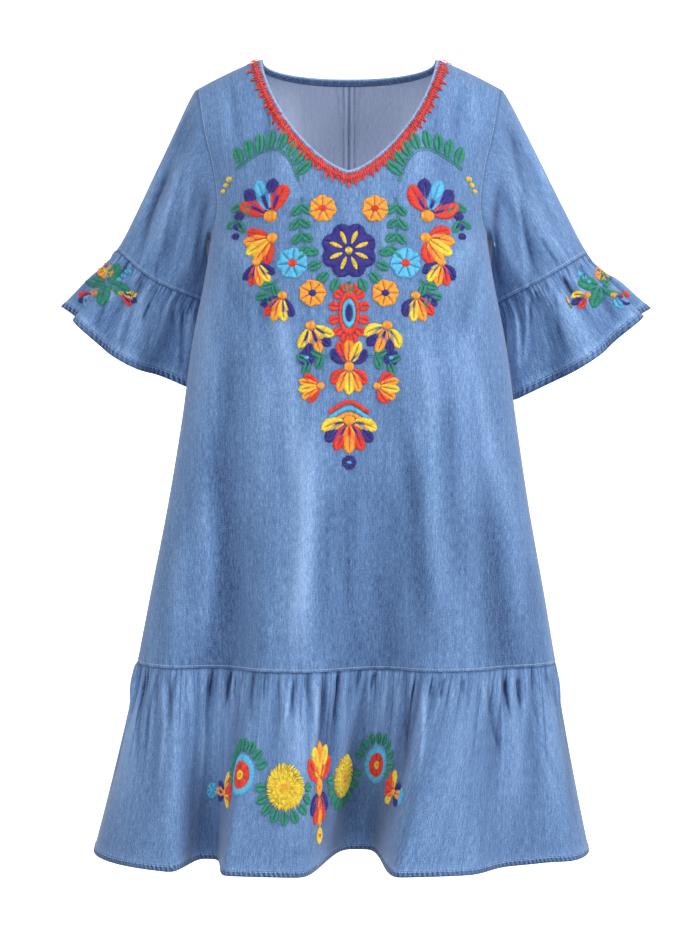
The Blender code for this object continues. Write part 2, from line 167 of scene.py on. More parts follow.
# The photo's camera, level with the middle of the dress. Its pixel, in metres, is given at the dress's middle
# plane and on the nearer front, and the middle and width of its frame in pixels and metres
CAMERA = Vector((0.0012, -2.0, -0.4856))
CAMERA_DISTANCE = 2.0
SENSOR_WIDTH = 36.0
PIXEL = 0.0012
FRONT_PIXEL = PIXEL * 0.95
FRAME_X, FRAME_Y = 350, 466.5
FRAME_WIDTH = 0.84
NEAR_FRONT_Y = -0.09


def curve(start, leave, end, arrive, t):
    """A cubic from start to end with the slopes leave and arrive, at t from 0 to 1."""
    return (
        (2 * t**3 - 3 * t**2 + 1) * start
        + (t**3 - 2 * t**2 + t) * leave
        + (3 * t**2 - 2 * t**3) * end
        + (t**3 - t**2) * arrive
    )


def through(xs, values, at):
    """A smooth curve through values at rising xs, read at any array of places."""
    xs, values, at = np.asarray(xs, float), np.asarray(values, float), np.asarray(at, float)
    at = np.clip(at, xs[0], xs[-1])
    i = np.clip(np.searchsorted(xs, at, side="right") - 1, 0, len(xs) - 2)
    last = len(xs) - 1
    k = np.arange(len(xs))
    after, before = np.minimum(k + 1, last), np.maximum(k - 1, 0)
    slope = ((values[after] - values[before]).T / (xs[after] - xs[before])).T
    span, t = xs[i + 1] - xs[i], (at - xs[i]) / (xs[i + 1] - xs[i])
    if values.ndim > 1:
        span, t = span[..., None], t[..., None]
    return curve(values[i], span * slope[i], values[i + 1], span * slope[i + 1], t)


def body_at(column, drop):
    return through(BODY[:, 0], BODY[:, column], drop)


def fade(start, end, at):
    """0 before start, 1 after end, and a smooth rise between them."""
    t = np.clip((np.asarray(at, float) - start) / (end - start), 0.0, 1.0)
    return t * t * (3 - 2 * t)


def dip_shape(distance, power):
    return np.exp(-(np.abs(distance) ** power))


def signed_power(value, exponent):
    return np.sign(value) * np.abs(value) ** exponent


def unit(vectors):
    return vectors / np.maximum(np.linalg.norm(vectors, axis=-1, keepdims=True), 1e-12)


def lay(x, y, z):
    return np.stack(np.broadcast_arrays(x, y, z), axis=-1)


def gone_along(points):
    """How far along a line each of its points lies."""
    return np.concatenate([[0], np.cumsum(np.linalg.norm(np.diff(points, axis=0), axis=1))])


def loop(points):
    return np.concatenate([points, points[:1]])


def shoulder_fall(x, drop):
    out = np.maximum(np.abs(x) - NECK_HALF, 0.0) / (SHOULDER_HALF - NECK_HALF)
    return SHOULDER_FALL * out**FALL_POWER * (1 - fade(FALL_FADES_FROM, FALL_FADES_TO, drop))


def torso(side, turn, drop, gap=SEAM_GAP):
    """Points of the body: side -1 is the front and 1 the back, turn runs from -90 to 90 degrees across."""
    turn, drop = np.broadcast_arrays(np.asarray(turn, float), np.asarray(drop, float))
    across = signed_power(np.sin(turn), 2 / ROUNDNESS)
    deep = np.abs(np.cos(turn)) ** (2 / ROUNDNESS)
    half = body_at(HALF_WIDTH, drop)
    rise = np.minimum(drop / SHOULDER_ROUND, 1.0)
    depth = body_at(FRONT if side < 0 else BACK, drop) * np.sqrt(np.maximum(1 - (1 - rise) ** 2, 0))
    x = half * across
    for fold in BODY_FOLDS:
        if fold.side == side:
            grown = fade(fold.top, FOLD_GROWS_TO, drop) / fade(fold.top, FOLD_GROWS_TO, HEM_SEAM_DROP)
            dip = dip_shape((across - fold.across) / fold.half_width, FOLD_POWER) * grown
            depth = depth - fold.depth * dip
            x = x + fold.lean * dip
    z = -drop - shoulder_fall(x, drop)
    return lay(x + body_at(SHIFT, drop), side * (deep * depth + gap / 2), z)


def turn_at(x, drop):
    share = np.minimum(np.abs(x) / body_at(HALF_WIDTH, drop), 1.0)
    return np.arcsin(share ** (ROUNDNESS / 2))


def neck_turn_drop(side, column, band):
    """Turn and drop of the neckline on the +X side. Column 0 is the neck point and the last the centre."""
    line = NECKLINES[side]
    share = np.clip(np.asarray(column, float) / line.columns, 0, 1)
    fall = 1 - (1 - share**NECK_CROWDING) ** NECK_SPREADING
    drop = (line.drop + line.band_drop * (1 - band)) * fall
    across = (1 - fall**line.drop_power) ** (1 / line.across_power)
    return turn_at(across * (NECK_HALF + BINDING_WIDTH * (1 - band)), drop), drop


def armhole_at(r):
    """Turn and drop of the armhole at a place from 0, the underarm, to 11, the shoulder tip."""
    ks = np.arange(len(ARMHOLE))
    return np.radians(through(ks, ARMHOLE[:, 1], r)), through(ks, ARMHOLE[:, 0], r)


# Meshes


def crowd(rows, power):
    """Shares from 0 to 1 with rows packed towards the start."""
    return np.linspace(0, 1, rows) ** power


class Surface:
    """A grid of points with cloth coordinates, rows downwards. closed joins the last column to the first."""

    def __init__(self, points, across, down, tone=None, closed=False):
        self.points, self.closed = points, closed
        self.across, self.down = np.broadcast_arrays(across, down)
        self.tone = np.zeros(self.across.shape) if tone is None else tone

    def normals(self):
        p = self.points
        if self.closed:
            du = np.roll(p, -1, axis=1) - np.roll(p, 1, axis=1)
        else:
            du = np.gradient(p, axis=1)
        return unit(np.cross(np.gradient(p, axis=0), du))


def add_layer(data, name, pairs):
    """One layer of cloth coordinates or of tones, by the corners of the faces."""
    layer = data.uv_layers.new(name=name)
    layer.data.foreach_set("uv", pairs.reshape(-1).astype(np.float32))


def add_object(name, data):
    added = bpy.data.objects.new(name, data)
    bpy.context.scene.collection.objects.link(added)
    return added


def mesh_of(name, surfaces, materials, thickness, flip=False, merge=False):
    """One object from grids: a shell of the given thickness, with its outside in the first material."""
    verts, faces, uvs = [], [], []
    base = 0
    for s in surfaces:
        rows, columns = s.points.shape[:2]
        ids = base + np.arange(rows * columns).reshape(rows, columns)
        base += rows * columns
        nxt = np.roll(ids, -1, axis=1) if s.closed else ids[:, 1:]
        now = ids if s.closed else ids[:, :-1]
        quads = np.stack([now[:-1], now[1:], nxt[1:], nxt[:-1]], axis=-1).reshape(-1, 4)
        full = np.stack([s.across, s.down, s.tone], axis=-1)
        if s.closed and full.shape[1] == columns:
            step = full[:, -1:] - full[:, -2:-1]
            tail = np.concatenate([full[:, -1:, :2] + step[..., :2], full[:, :1, 2:]], axis=-1)
            full = np.concatenate([full, tail], axis=1)
        a, b = full[:, :-1], full[:, 1:]
        corner = np.stack([a[:-1], a[1:], b[1:], b[:-1]], axis=2).reshape(-1, 4, 3)
        if flip:
            quads, corner = quads[:, ::-1], corner[:, ::-1]
        verts.append(s.points.reshape(-1, 3))
        faces.append(quads)
        uvs.append(corner)
    verts, faces, uvs = np.concatenate(verts), np.concatenate(faces), np.concatenate(uvs)
    data = bpy.data.meshes.new(name)
    data.from_pydata(verts.tolist(), [], faces.tolist())
    add_layer(data, "cloth", uvs[..., :2])
    add_layer(data, "tone", np.stack([uvs[..., 2], np.zeros(uvs.shape[:2])], axis=-1))
    if merge:
        bm = bmesh.new()
        bm.from_mesh(data)
        bmesh.ops.remove_doubles(bm, verts=bm.verts, dist=WELD)
        bm.to_mesh(data)
        bm.free()
    data.shade_smooth()
    piece = add_object(name, data)
    for material in materials:
        data.materials.append(material)
    wall = piece.modifiers.new("wall", "SOLIDIFY")
    wall.thickness = thickness
    wall.offset = 0.0
    wall.material_offset = 1
    return piece


def seen_at(points):
    """Where points of the garment fall in the frame."""
    deep = points[..., 1] - CAMERA.y
    x = FRAME_X + (points[..., 0] - CAMERA.x) / PIXEL * CAMERA_DISTANCE / deep
    y = FRAME_Y - (points[..., 2] - CAMERA.z) / PIXEL * CAMERA_DISTANCE / deep
    return np.stack([x, y], axis=-1)


# Creases by the places in the photo's frame where they start and end, as read off it, with their width there
# and their height in millimetres. The same ones, mirrored, serve the sides that the photo doesn't show
MIRROR_SUM = 703
TUBE_HALF_SHIFT = 6
SeenCrease = namedtuple("SeenCrease", "x0 y0 x1 y1 width height")
HEM_CREASES = (
    SeenCrease(147, 672, 138, 770, 2.5, -2.0),
    SeenCrease(152, 676, 142, 800, 2.5, 1.8),
    SeenCrease(157, 674, 146, 760, 1.9, -2.6),
    SeenCrease(163, 678, 158, 790, 2.5, 2.4),
    SeenCrease(175, 672, 171, 728, 1.9, -2.6),
    SeenCrease(181, 674, 176, 760, 2.5, 1.8),
    SeenCrease(190, 670, 184, 800, 3.1, 2.4),
    SeenCrease(203, 668, 190, 840, 3.1, 2.2),
    SeenCrease(211, 672, 207, 740, 3.1, -3.0),
    SeenCrease(222, 668, 221, 850, 2.5, 1.8),
    SeenCrease(233, 668, 226, 712, 1.9, -2.8),
    SeenCrease(241, 668, 238, 720, 2.5, 1.6),
    SeenCrease(255, 668, 251, 722, 2.2, -2.8),
    SeenCrease(266, 670, 263, 700, 1.9, -2.0),
    SeenCrease(290, 673, 278, 745, 2.5, 2.4),
    SeenCrease(297, 674, 290, 720, 2.2, -1.6),
    SeenCrease(304, 674, 302, 735, 1.9, -1.4),
    SeenCrease(314, 673, 310, 770, 2.8, 2.6),
    SeenCrease(326, 670, 325, 850, 3.1, -2.0),
    SeenCrease(339, 669, 334, 728, 1.9, -2.8),
    SeenCrease(347, 668, 343, 700, 1.9, 1.6),
    SeenCrease(360, 668, 358, 690, 1.9, -1.8),
    SeenCrease(375, 672, 371, 692, 1.9, -2.4),
    SeenCrease(383, 674, 380, 720, 2.5, 1.8),
    SeenCrease(395, 676, 386, 790, 3.1, 1.8),
    SeenCrease(415, 678, 406, 762, 2.1, -3.8),
    SeenCrease(422, 678, 416, 790, 2.5, 2.4),
    SeenCrease(433, 678, 430, 700, 1.9, -1.6),
    SeenCrease(444, 678, 440, 700, 1.9, -2.6),
    SeenCrease(452, 678, 447, 720, 2.5, 1.6),
    SeenCrease(463, 678, 462, 695, 1.9, -1.6),
    SeenCrease(479, 678, 494, 750, 3.1, 1.8),
    SeenCrease(486, 688, 503, 758, 3.1, -2.8),
    SeenCrease(498, 678, 497, 815, 1.9, 2.2),
    SeenCrease(504, 678, 512, 720, 2.0, -2.8),
    SeenCrease(517, 678, 521, 708, 1.9, -2.4),
    SeenCrease(526, 698, 552, 795, 3.7, 2.6),
    SeenCrease(532, 702, 557, 782, 3.1, -2.6),
    SeenCrease(540, 676, 548, 720, 2.2, 1.6),
    SeenCrease(549, 676, 556, 705, 1.9, -1.8),
    SeenCrease(566, 740, 580, 840, 3.1, -1.6),
)
CUFF_CREASES = {
    -1: (
        SeenCrease(145, 272, 120, 353, 3.5, -2.6),
        SeenCrease(138, 268, 112, 348, 3.5, 2.4),
        SeenCrease(151, 302, 143, 324, 1.8, -2.4),
        SeenCrease(159, 287, 149, 308, 2.1, -2.0),
        SeenCrease(157, 300, 150, 366, 4.2, 1.6),
        SeenCrease(174, 310, 173, 325, 1.8, -2.0),
        SeenCrease(178, 304, 176, 376, 2.8, 2.4),
        SeenCrease(184, 308, 182, 372, 3.5, -3.0),
        SeenCrease(190, 310, 192, 380, 2.8, 1.6),
        SeenCrease(129, 259, 118, 290, 1.8, -2.0),
        SeenCrease(118, 262, 104, 318, 3.5, 1.6),
        SeenCrease(108, 300, 96, 330, 4.2, -2.0),
    ),
    1: (
        SeenCrease(552, 291, 566, 356, 3.5, -2.8),
        SeenCrease(549, 288, 556, 330, 2.4, 2.2),
        SeenCrease(526, 299, 522, 368, 2.5, 2.2),
        SeenCrease(531, 299, 530, 330, 2.1, -1.8),
        SeenCrease(535, 291, 539, 304, 1.8, -2.2),
        SeenCrease(562, 276, 581, 303, 2.5, -2.6),
        SeenCrease(568, 271, 596, 324, 3.5, 2.2),
        SeenCrease(580, 265, 589, 281, 1.8, -2.2),
        SeenCrease(587, 257, 599, 273, 1.8, -2.2),
        SeenCrease(514, 309, 517, 385, 2.4, 2.4),
        SeenCrease(600, 290, 618, 322, 3.5, -1.8),
        SeenCrease(540, 310, 545, 372, 4.2, 1.2),
    ),
}
SLEEVE_SEEN_CREASES = {
    -1: (
        SeenCrease(170, 168, 139, 262, 3.2, -3.0),
        SeenCrease(180, 150, 152, 268, 4.2, 2.2),
        SeenCrease(190, 180, 174, 264, 3.5, 2.4),
        SeenCrease(184, 170, 164, 256, 2.8, -2.2),
        SeenCrease(208, 190, 197, 280, 4.2, -3.0),
        SeenCrease(160, 150, 130, 245, 4.2, 1.8),
        SeenCrease(190, 110, 172, 160, 4.2, -1.6),
        SeenCrease(146, 256, 141, 268, 1.7, 1.4),
        SeenCrease(158, 262, 156, 280, 1.7, -1.4),
        SeenCrease(170, 274, 168, 288, 1.7, 1.4),
    ),
    1: (
        SeenCrease(498, 190, 501, 296, 4.2, -3.0),
        SeenCrease(510, 180, 524, 290, 4.2, 2.2),
        SeenCrease(520, 200, 540, 282, 2.8, -2.2),
        SeenCrease(541, 238, 563, 270, 1.8, -1.8),
        SeenCrease(549, 236, 570, 266, 2.1, 1.6),
        SeenCrease(520, 120, 552, 214, 4.2, 2.0),
        SeenCrease(512, 130, 534, 214, 3.5, -2.0),
        SeenCrease(540, 190, 574, 256, 3.5, 1.6),
        SeenCrease(512, 294, 513, 304, 1.7, 1.2),
        SeenCrease(530, 282, 533, 294, 1.7, -1.4),
    ),
}
BODY_SEEN_CREASES = (
    SeenCrease(203, 280, 192, 460, 9.0, 3.6),
    SeenCrease(214, 330, 208, 470, 8.0, 2.6),
    SeenCrease(548, 480, 560, 676, 5.0, 2.0),
    SeenCrease(232, 330, 236, 660, 13.0, -3.4),
    SeenCrease(262, 300, 272, 380, 6.0, -1.8),
    SeenCrease(276, 300, 290, 470, 8.0, 2.6),
    SeenCrease(300, 430, 288, 672, 11.0, 3.6),
    SeenCrease(330, 500, 328, 664, 10.0, -3.0),
    SeenCrease(352, 470, 356, 664, 9.0, -2.6),
    SeenCrease(392, 440, 402, 672, 9.0, 3.2),
    SeenCrease(420, 330, 436, 520, 8.0, 2.4),
    SeenCrease(412, 450, 440, 676, 15.0, -5.0),
    SeenCrease(446, 380, 474, 620, 11.0, -3.4),
    SeenCrease(462, 330, 494, 520, 8.0, 2.8),
    SeenCrease(494, 440, 522, 676, 10.0, 3.4),
    SeenCrease(484, 520, 500, 678, 6.0, -2.4),
    SeenCrease(534, 560, 545, 672, 6.0, -2.2),
    SeenCrease(206, 480, 196, 672, 9.0, 3.2),
    SeenCrease(176, 520, 166, 672, 7.0, -2.4),
    SeenCrease(224, 236, 214, 330, 5.0, 1.8),
    SeenCrease(470, 236, 482, 340, 5.0, 1.8),
    SeenCrease(232, 84, 240, 150, 6.0, -1.8),
    SeenCrease(222, 90, 226, 160, 5.0, 1.6),
    SeenCrease(462, 84, 456, 150, 6.0, -1.8),
    SeenCrease(474, 90, 472, 160, 5.0, 1.6),
    SeenCrease(478, 170, 489, 250, 4.0, -1.6),
    SeenCrease(215, 180, 206, 260, 4.0, -1.6),
)


def seen_creases(surface, rows, tube=False, level=False, wear_and_shade=(170, 300)):
    """Pushes a surface in or out along creases that are placed by the photo's frame, makes their ridges
    paler, partly as wear and partly as painted highlight, and puts painted shade in their grooves.
    level pushes straight to the front or back. wear_and_shade says how far ridges grow paler and how far
    painted shade darkens grooves."""
    p = surface.points
    out = surface.normals()
    facing = np.abs(out[..., 1]) ** (2 if level else 1)
    if level:
        out = np.zeros(p.shape) + np.array((0, np.sign(p[..., 1].mean()), 0))
    middle = p.mean(axis=1, keepdims=True) if tube else p * np.array((0, 0, 1))
    out = out * np.sign((out * (p - middle)).sum())
    place = seen_at(p)
    shift = np.zeros(p.shape[:2])
    for c in rows:
        for front in (True, False):
            x0, x1 = (c.x0, c.x1) if front else (MIRROR_SUM - c.x0, MIRROR_SUM - c.x1)
            if tube and not front:
                halfway = (c.x0 + c.x1) / 2
                x0, x1 = halfway + TUBE_HALF_SHIFT, halfway - TUBE_HALF_SHIFT
            on_side = out[..., 1] < 0 if front else out[..., 1] >= 0
            run = np.array((x1 - x0, c.y1 - c.y0))
            long = np.linalg.norm(run)
            t = ((place[..., 0] - x0) * run[0] + (place[..., 1] - c.y0) * run[1]) / long**2
            bow = 0.035 * long * np.sin(np.pi * np.clip(t, 0, 1)) * (1 if c.height > 0 else -1)
            off = ((place[..., 0] - x0) * run[1] - (place[..., 1] - c.y0) * run[0]) / long - bow
            ends = fade(-0.10, 0.22, t) * (1 - fade(0.55, 1.12, t))
            shift += on_side * 0.001 * c.height * ends * np.exp(-((off / c.width) ** 2))
    shift = shift * facing
    surface.points = p + out * shift[..., None]
    # Ridges paler, partly worn denim and partly painted highlight; grooves darker with painted shade
    surface.tone = surface.tone + np.maximum(shift, 0) * wear_and_shade[0] + np.minimum(shift, 0) * wear_and_shade[1]
    return surface


# Soft creases of the body, each a ridge or trough from one place to another, in metres across and down
Crease = namedtuple("Crease", "side x0 drop0 x1 drop1 width height")
CREASES = (
    Crease(-1, -0.030, 0.175, -0.034, 0.262, 0.0045, 0.0012),
    Crease(-1, -0.014, 0.172, -0.013, 0.245, 0.0040, -0.0012),
    Crease(-1, 0.004, 0.170, 0.005, 0.262, 0.0040, 0.0013),
    Crease(-1, 0.020, 0.174, 0.022, 0.250, 0.0045, -0.0012),
    Crease(-1, 0.036, 0.180, 0.041, 0.270, 0.0050, 0.0012),
    Crease(-1, -0.070, 0.060, -0.076, 0.190, 0.0110, 0.0020),
    Crease(-1, -0.088, 0.050, -0.104, 0.180, 0.0090, -0.0018),
    Crease(-1, 0.072, 0.055, 0.082, 0.200, 0.0110, 0.0020),
    Crease(-1, 0.092, 0.060, 0.110, 0.170, 0.0090, -0.0016),
    Crease(-1, -0.140, 0.215, -0.100, 0.290, 0.0100, 0.0024),
    Crease(-1, -0.150, 0.235, -0.118, 0.330, 0.0090, -0.0022),
    Crease(-1, 0.142, 0.215, 0.104, 0.300, 0.0100, 0.0024),
    Crease(-1, 0.152, 0.240, 0.124, 0.350, 0.0090, -0.0022),
    Crease(-1, -0.092, 0.330, -0.108, 0.560, 0.0140, 0.0022),
    Crease(-1, -0.150, 0.400, -0.170, 0.700, 0.0120, -0.0020),
    Crease(-1, -0.040, 0.420, -0.052, 0.715, 0.0120, 0.0024),
    Crease(-1, 0.050, 0.400, 0.066, 0.640, 0.0130, -0.0020),
    Crease(-1, 0.085, 0.460, 0.098, 0.715, 0.0110, 0.0026),
    Crease(-1, 0.118, 0.330, 0.140, 0.520, 0.0120, 0.0022),
    Crease(-1, 0.160, 0.480, 0.178, 0.715, 0.0120, -0.0022),
    Crease(-1, -0.196, 0.560, -0.206, 0.715, 0.0100, 0.0022),
    Crease(-1, 0.012, 0.520, 0.020, 0.700, 0.0090, 0.0016),
    Crease(1, -0.060, 0.030, -0.070, 0.190, 0.0120, 0.0022),
    Crease(1, 0.064, 0.030, 0.078, 0.200, 0.0120, 0.0022),
    Crease(1, -0.120, 0.180, -0.080, 0.300, 0.0110, -0.0022),
    Crease(1, 0.122, 0.180, 0.084, 0.310, 0.0110, -0.0022),
    Crease(1, -0.140, 0.260, -0.150, 0.520, 0.0130, 0.0024),
    Crease(1, -0.070, 0.340, -0.086, 0.640, 0.0120, 0.0022),
    Crease(1, 0.030, 0.300, 0.034, 0.560, 0.0130, -0.0020),
    Crease(1, 0.100, 0.360, 0.118, 0.700, 0.0120, 0.0024),
    Crease(1, 0.156, 0.420, 0.174, 0.715, 0.0110, -0.0020),
    Crease(1, -0.180, 0.480, -0.196, 0.715, 0.0110, -0.0020),
)


def creased(side, x, drop):
    """How far the creases push the body outwards."""
    found = np.zeros(np.broadcast(x, drop).shape)
    for c in CREASES:
        if c.side != side:
            continue
        run = np.array((c.x1 - c.x0, c.drop1 - c.drop0))
        long = np.linalg.norm(run)
        t = ((x - c.x0) * run[0] + (drop - c.drop0) * run[1]) / long**2
        off = ((x - c.x0) * run[1] - (drop - c.drop0) * run[0]) / long
        ends = fade(-0.18, 0.30, t) * (1 - fade(0.65, 1.15, t))
        found = found + c.height * ends * np.exp(-((off / c.width) ** 2))
    return found


def seam_pull(drop):
    """A soft roll of the body's lower edge over its seam allowance, with the ruffle sewn under it."""
    up = HEM_SEAM_DROP - drop
    return 0.0009 * np.exp(-(((up - 0.0045) / 0.0034) ** 2))


FRONT_SPANS = 62
BACK_SPANS = 58
JOIN_REACH = 0.001
BY_CENTRE = (0.40, 0.28, 0.20, 0.16, 0.13, 0.10, 0.07, 0.045, 0.02, 0.0)


def skirt_shares():
    """Places down the skirt from the underarm to the hem seam, closer together at the seam."""
    near = np.array([0.012, 0.009, 0.0065, 0.0045, 0.003, 0.0015, 0.0]) / (HEM_SEAM_DROP - UNDERARM_DROP)
    return np.concatenate([np.linspace(0, 1 - near[0], 118)[:-1], 1 - near])


def front_surfaces():
    upper = np.concatenate([np.linspace(19, 18, 6)[:-1], np.linspace(18, 8, 52)])
    side_turn, side_drop = armhole_at(upper - 8)
    neck_turn, neck_drop = neck_turn_drop(-1, np.clip(19 - upper, 0, 10), 0)
    below = np.clip(9 - upper, 0, 1)
    tip_drop = neck_turn_drop(-1, 10, 0)[1]
    centre_turn = np.where(upper > 9, neck_turn, 0.0)
    centre_drop = np.where(upper > 9, neck_drop, tip_drop + (FRONT_CENTRE_DROP - tip_drop) * below)
    share = skirt_shares()[1:]
    side_turn = np.concatenate([side_turn, np.full(share.shape, math.pi / 2)])
    side_drop = np.concatenate([side_drop, UNDERARM_DROP + (HEM_SEAM_DROP - UNDERARM_DROP) * share])
    centre_turn = np.concatenate([centre_turn, np.zeros(share.shape)])
    centre_fall = FRONT_CENTRE_DROP + (HEM_SEAM_DROP - FRONT_CENTRE_DROP) * share
    centre_drop = np.concatenate([centre_drop, centre_fall])
    out = np.linspace(0, 1, FRONT_SPANS + 1)[None, :]
    turn = centre_turn[:, None] * (1 - out) + side_turn[:, None] * out
    drop = centre_drop[:, None] * (1 - out) + side_drop[:, None] * out
    found = []
    for way in (-1, 1):
        t, d = (turn[:, ::-1], drop[:, ::-1]) if way < 0 else (turn, drop)
        found.append(body_surface(-1, way * t, d))
    # Below the V the halves share one column down the centre front, so that the creases can't part them
    left, right = found
    joined = np.linalg.norm(left.points[:, -1] - right.points[:, 0], axis=-1) < JOIN_REACH
    for grid in ("points", "tone"):
        shared = (getattr(left, grid)[joined, -1] + getattr(right, grid)[joined, 0]) / 2
        getattr(left, grid)[joined, -1] = shared
        getattr(right, grid)[joined, 0] = shared
    return found


def back_surface(way):
    columns = SHOULDER_COLUMNS + NECKLINES[1].columns
    c = np.concatenate([np.linspace(0, columns - 0.55, BACK_SPANS - 8), columns - np.array(BY_CENTRE)])
    tip, underarm = armhole_at(11.0), armhole_at(0.0)
    neck_point = neck_turn_drop(1, 0, 0)
    first = np.clip(c / SHOULDER_COLUMNS, 0, 1)
    rest = np.clip((c - SHOULDER_COLUMNS) / NECKLINES[1].columns, 0, 1)
    shoulder_low = underarm[0] + (LOWER_NECK_TURN - underarm[0]) * first
    low_turn = np.where(c < SHOULDER_COLUMNS, shoulder_low, LOWER_NECK_TURN * (1 - rest))
    neck_turn, neck_drop = neck_turn_drop(1, np.clip(c - SHOULDER_COLUMNS, 0, None), 0)
    top_turn = np.where(c < SHOULDER_COLUMNS, tip[0] + (neck_point[0] - tip[0]) * first, neck_turn)
    top_drop = np.where(c < SHOULDER_COLUMNS, tip[1] + (neck_point[1] - tip[1]) * first, neck_drop)
    r = np.concatenate([np.linspace(11, 10, 6)[:-1], np.linspace(10, 0, 52)])
    edge_turn, edge_drop = armhole_at(r)
    share = (1 - edge_drop / UNDERARM_DROP)[:, None]
    turn = low_turn * (1 - share) + top_turn * share
    drop = UNDERARM_DROP * (1 - share) + top_drop * share
    plain = underarm[0] * (1 - share[:, 0]) + tip[0] * share[:, 0]
    turn = turn + (1 - c / columns) ** BEND_POWER * (edge_turn - plain)[:, None]
    down = skirt_shares()[1:, None]
    skirt_turn = np.broadcast_to(low_turn, (len(down), len(c)))
    skirt_drop = np.broadcast_to(UNDERARM_DROP + (HEM_SEAM_DROP - UNDERARM_DROP) * down, skirt_turn.shape)
    turn, drop = np.concatenate([turn, skirt_turn]), np.concatenate([drop, skirt_drop])
    if way > 0:
        return body_surface(1, turn, drop)
    return body_surface(1, -turn[:, ::-1], drop[:, ::-1])


def body_surface(side, turn, drop):
    points = torso(side, turn, drop)
    low = creased(side, points[..., 0], drop)
    edge = HEM_SEAM_DROP - drop
    small = np.sin(points[..., 0] * 520 + 2.2 * np.sin(points[..., 0] * 71)) * np.exp(-((edge / 0.012) ** 2))
    out = (1.5 * low + seam_pull(drop) + 0.00035 * small) * np.cos(turn) ** 0.5
    points[..., 1] += side * out
    across = signed_power(np.sin(turn), 2 / ROUNDNESS)
    # The tone paints highlight on raised creases and small wrinkles and shade in their troughs, with a paler
    # line just above the seam
    tone = low * 90 + 0.16 * small + 0.15 * np.exp(-(((edge - 0.0015) / 0.002) ** 2))
    # Painted shade along the floor of each fold
    for fold in BODY_FOLDS:
        if fold.side == side:
            grown = fade(fold.top, FOLD_GROWS_TO, drop) / fade(fold.top, FOLD_GROWS_TO, HEM_SEAM_DROP)
            tone = tone - 0.5 * dip_shape((across - fold.across) / fold.half_width, FOLD_POWER) * grown
    if side > 0:
        away = np.abs(points[..., 0])
        tone = tone - 0.9 * np.exp(-((away / 0.0011) ** 2)) + 0.5 * np.exp(-(((away - 0.0042) / 0.0012) ** 2))
        tone = tone - 0.7 * np.exp(-(((away - 0.0066) / 0.0012) ** 2))
    steps = np.linalg.norm(np.diff(points, axis=1), axis=-1)
    first = np.abs(points[-1, 0, 0]) < np.abs(points[-1, -1, 0])
    gone = np.cumsum(steps if first else steps[:, ::-1], axis=1)
    gone = np.concatenate([np.zeros((len(gone), 1)), gone], axis=1)
    across = points[:, :1, 0] + gone * np.sign(points[-1, -1, 0]) if first else None
    if not first:
        across = points[:, -1:, 0] + gone[:, ::-1] * np.sign(points[-1, 0, 0])
    s = Surface(points, across, drop, tone)
    return seen_creases(s, BODY_SEEN_CREASES, level=True, wear_and_shade=(150, 120))


def armhole(way):
    """The armhole's points, run-on directions and outward normals, at the source's own places round it."""
    slope = math.atan2(SHOULDER_FALL * FALL_POWER, SHOULDER_HALF - NECK_HALF)
    turns, drops = way * np.radians(ARMHOLE[:, 1]), ARMHOLE[:, 0]
    on_past = np.array((way * math.cos(slope), 0, -math.sin(slope)))
    up = np.array((way * math.sin(slope), 0, math.cos(slope)))
    points = [torso(1, turns[-1], drops[-1], gap=0)]
    beyonds, normals = [on_past], [up]
    for side in (-1, 1):
        run = []
        for k in range(1, len(drops) - 1):
            here = torso(side, turns[k], drops[k])
            tangent = torso(side, turns[k + 1], drops[k + 1]) - torso(side, turns[k - 1], drops[k - 1])
            inward = torso(side, turns[k] - way * SMALL_STEP, drops[k]) - here
            downward = torso(side, turns[k], drops[k] + SMALL_STEP) - here
            normal = unit(np.cross(inward, downward))
            normal = normal if normal[1] * side > 0 else -normal
            beyond = unit(np.cross(normal, tangent))
            beyond = beyond if beyond @ inward < 0 else -beyond
            run.append((here, beyond, normal))
        for here, beyond, normal in run[::-1] if side < 0 else run:
            points.append(here)
            beyonds.append(beyond)
            normals.append(normal)
        if side < 0:
            points.append(torso(1, turns[0], drops[0], gap=0))
            beyonds.append(np.array((0, 0, 1.0)))
            normals.append(np.array((way, 0, 0.0)))
    return np.array(points), np.array(beyonds), np.array(normals)


def round_and_round(values, q, directions=False):
    """Values at whole places of a closed loop, read at places q between them."""
    count = len(values)
    ring = np.concatenate([values[-2:], values, values[:3]])
    found = through(np.arange(-2, count + 3), ring, q)
    return unit(found) if directions else found


def ring_point(ring, way, angle):
    """Points of a cuff ring, and the way the sleeve runs. Angle 0 is its outer end, 90 degrees its front."""
    outer = np.array((way * ring.outer_x, ring.y, ring.outer_z))
    inner = np.array((way * ring.inner_x, ring.y, ring.inner_z))
    half = (outer - inner) / 2
    axis = unit(np.array((way * half[2], 0, -abs(half[0]))))
    angle = np.asarray(angle, float)[..., None]
    point = (outer + inner) / 2 + half * np.cos(angle) - np.array((0, 1, 0)) * ring.half_depth * np.sin(angle)
    return point + axis * ring.bow * np.maximum(np.sin(angle), 0.0) ** BOW_POWER, axis


SLEEVE_PER_SPAN = 8
SLEEVE_ROWS = 56

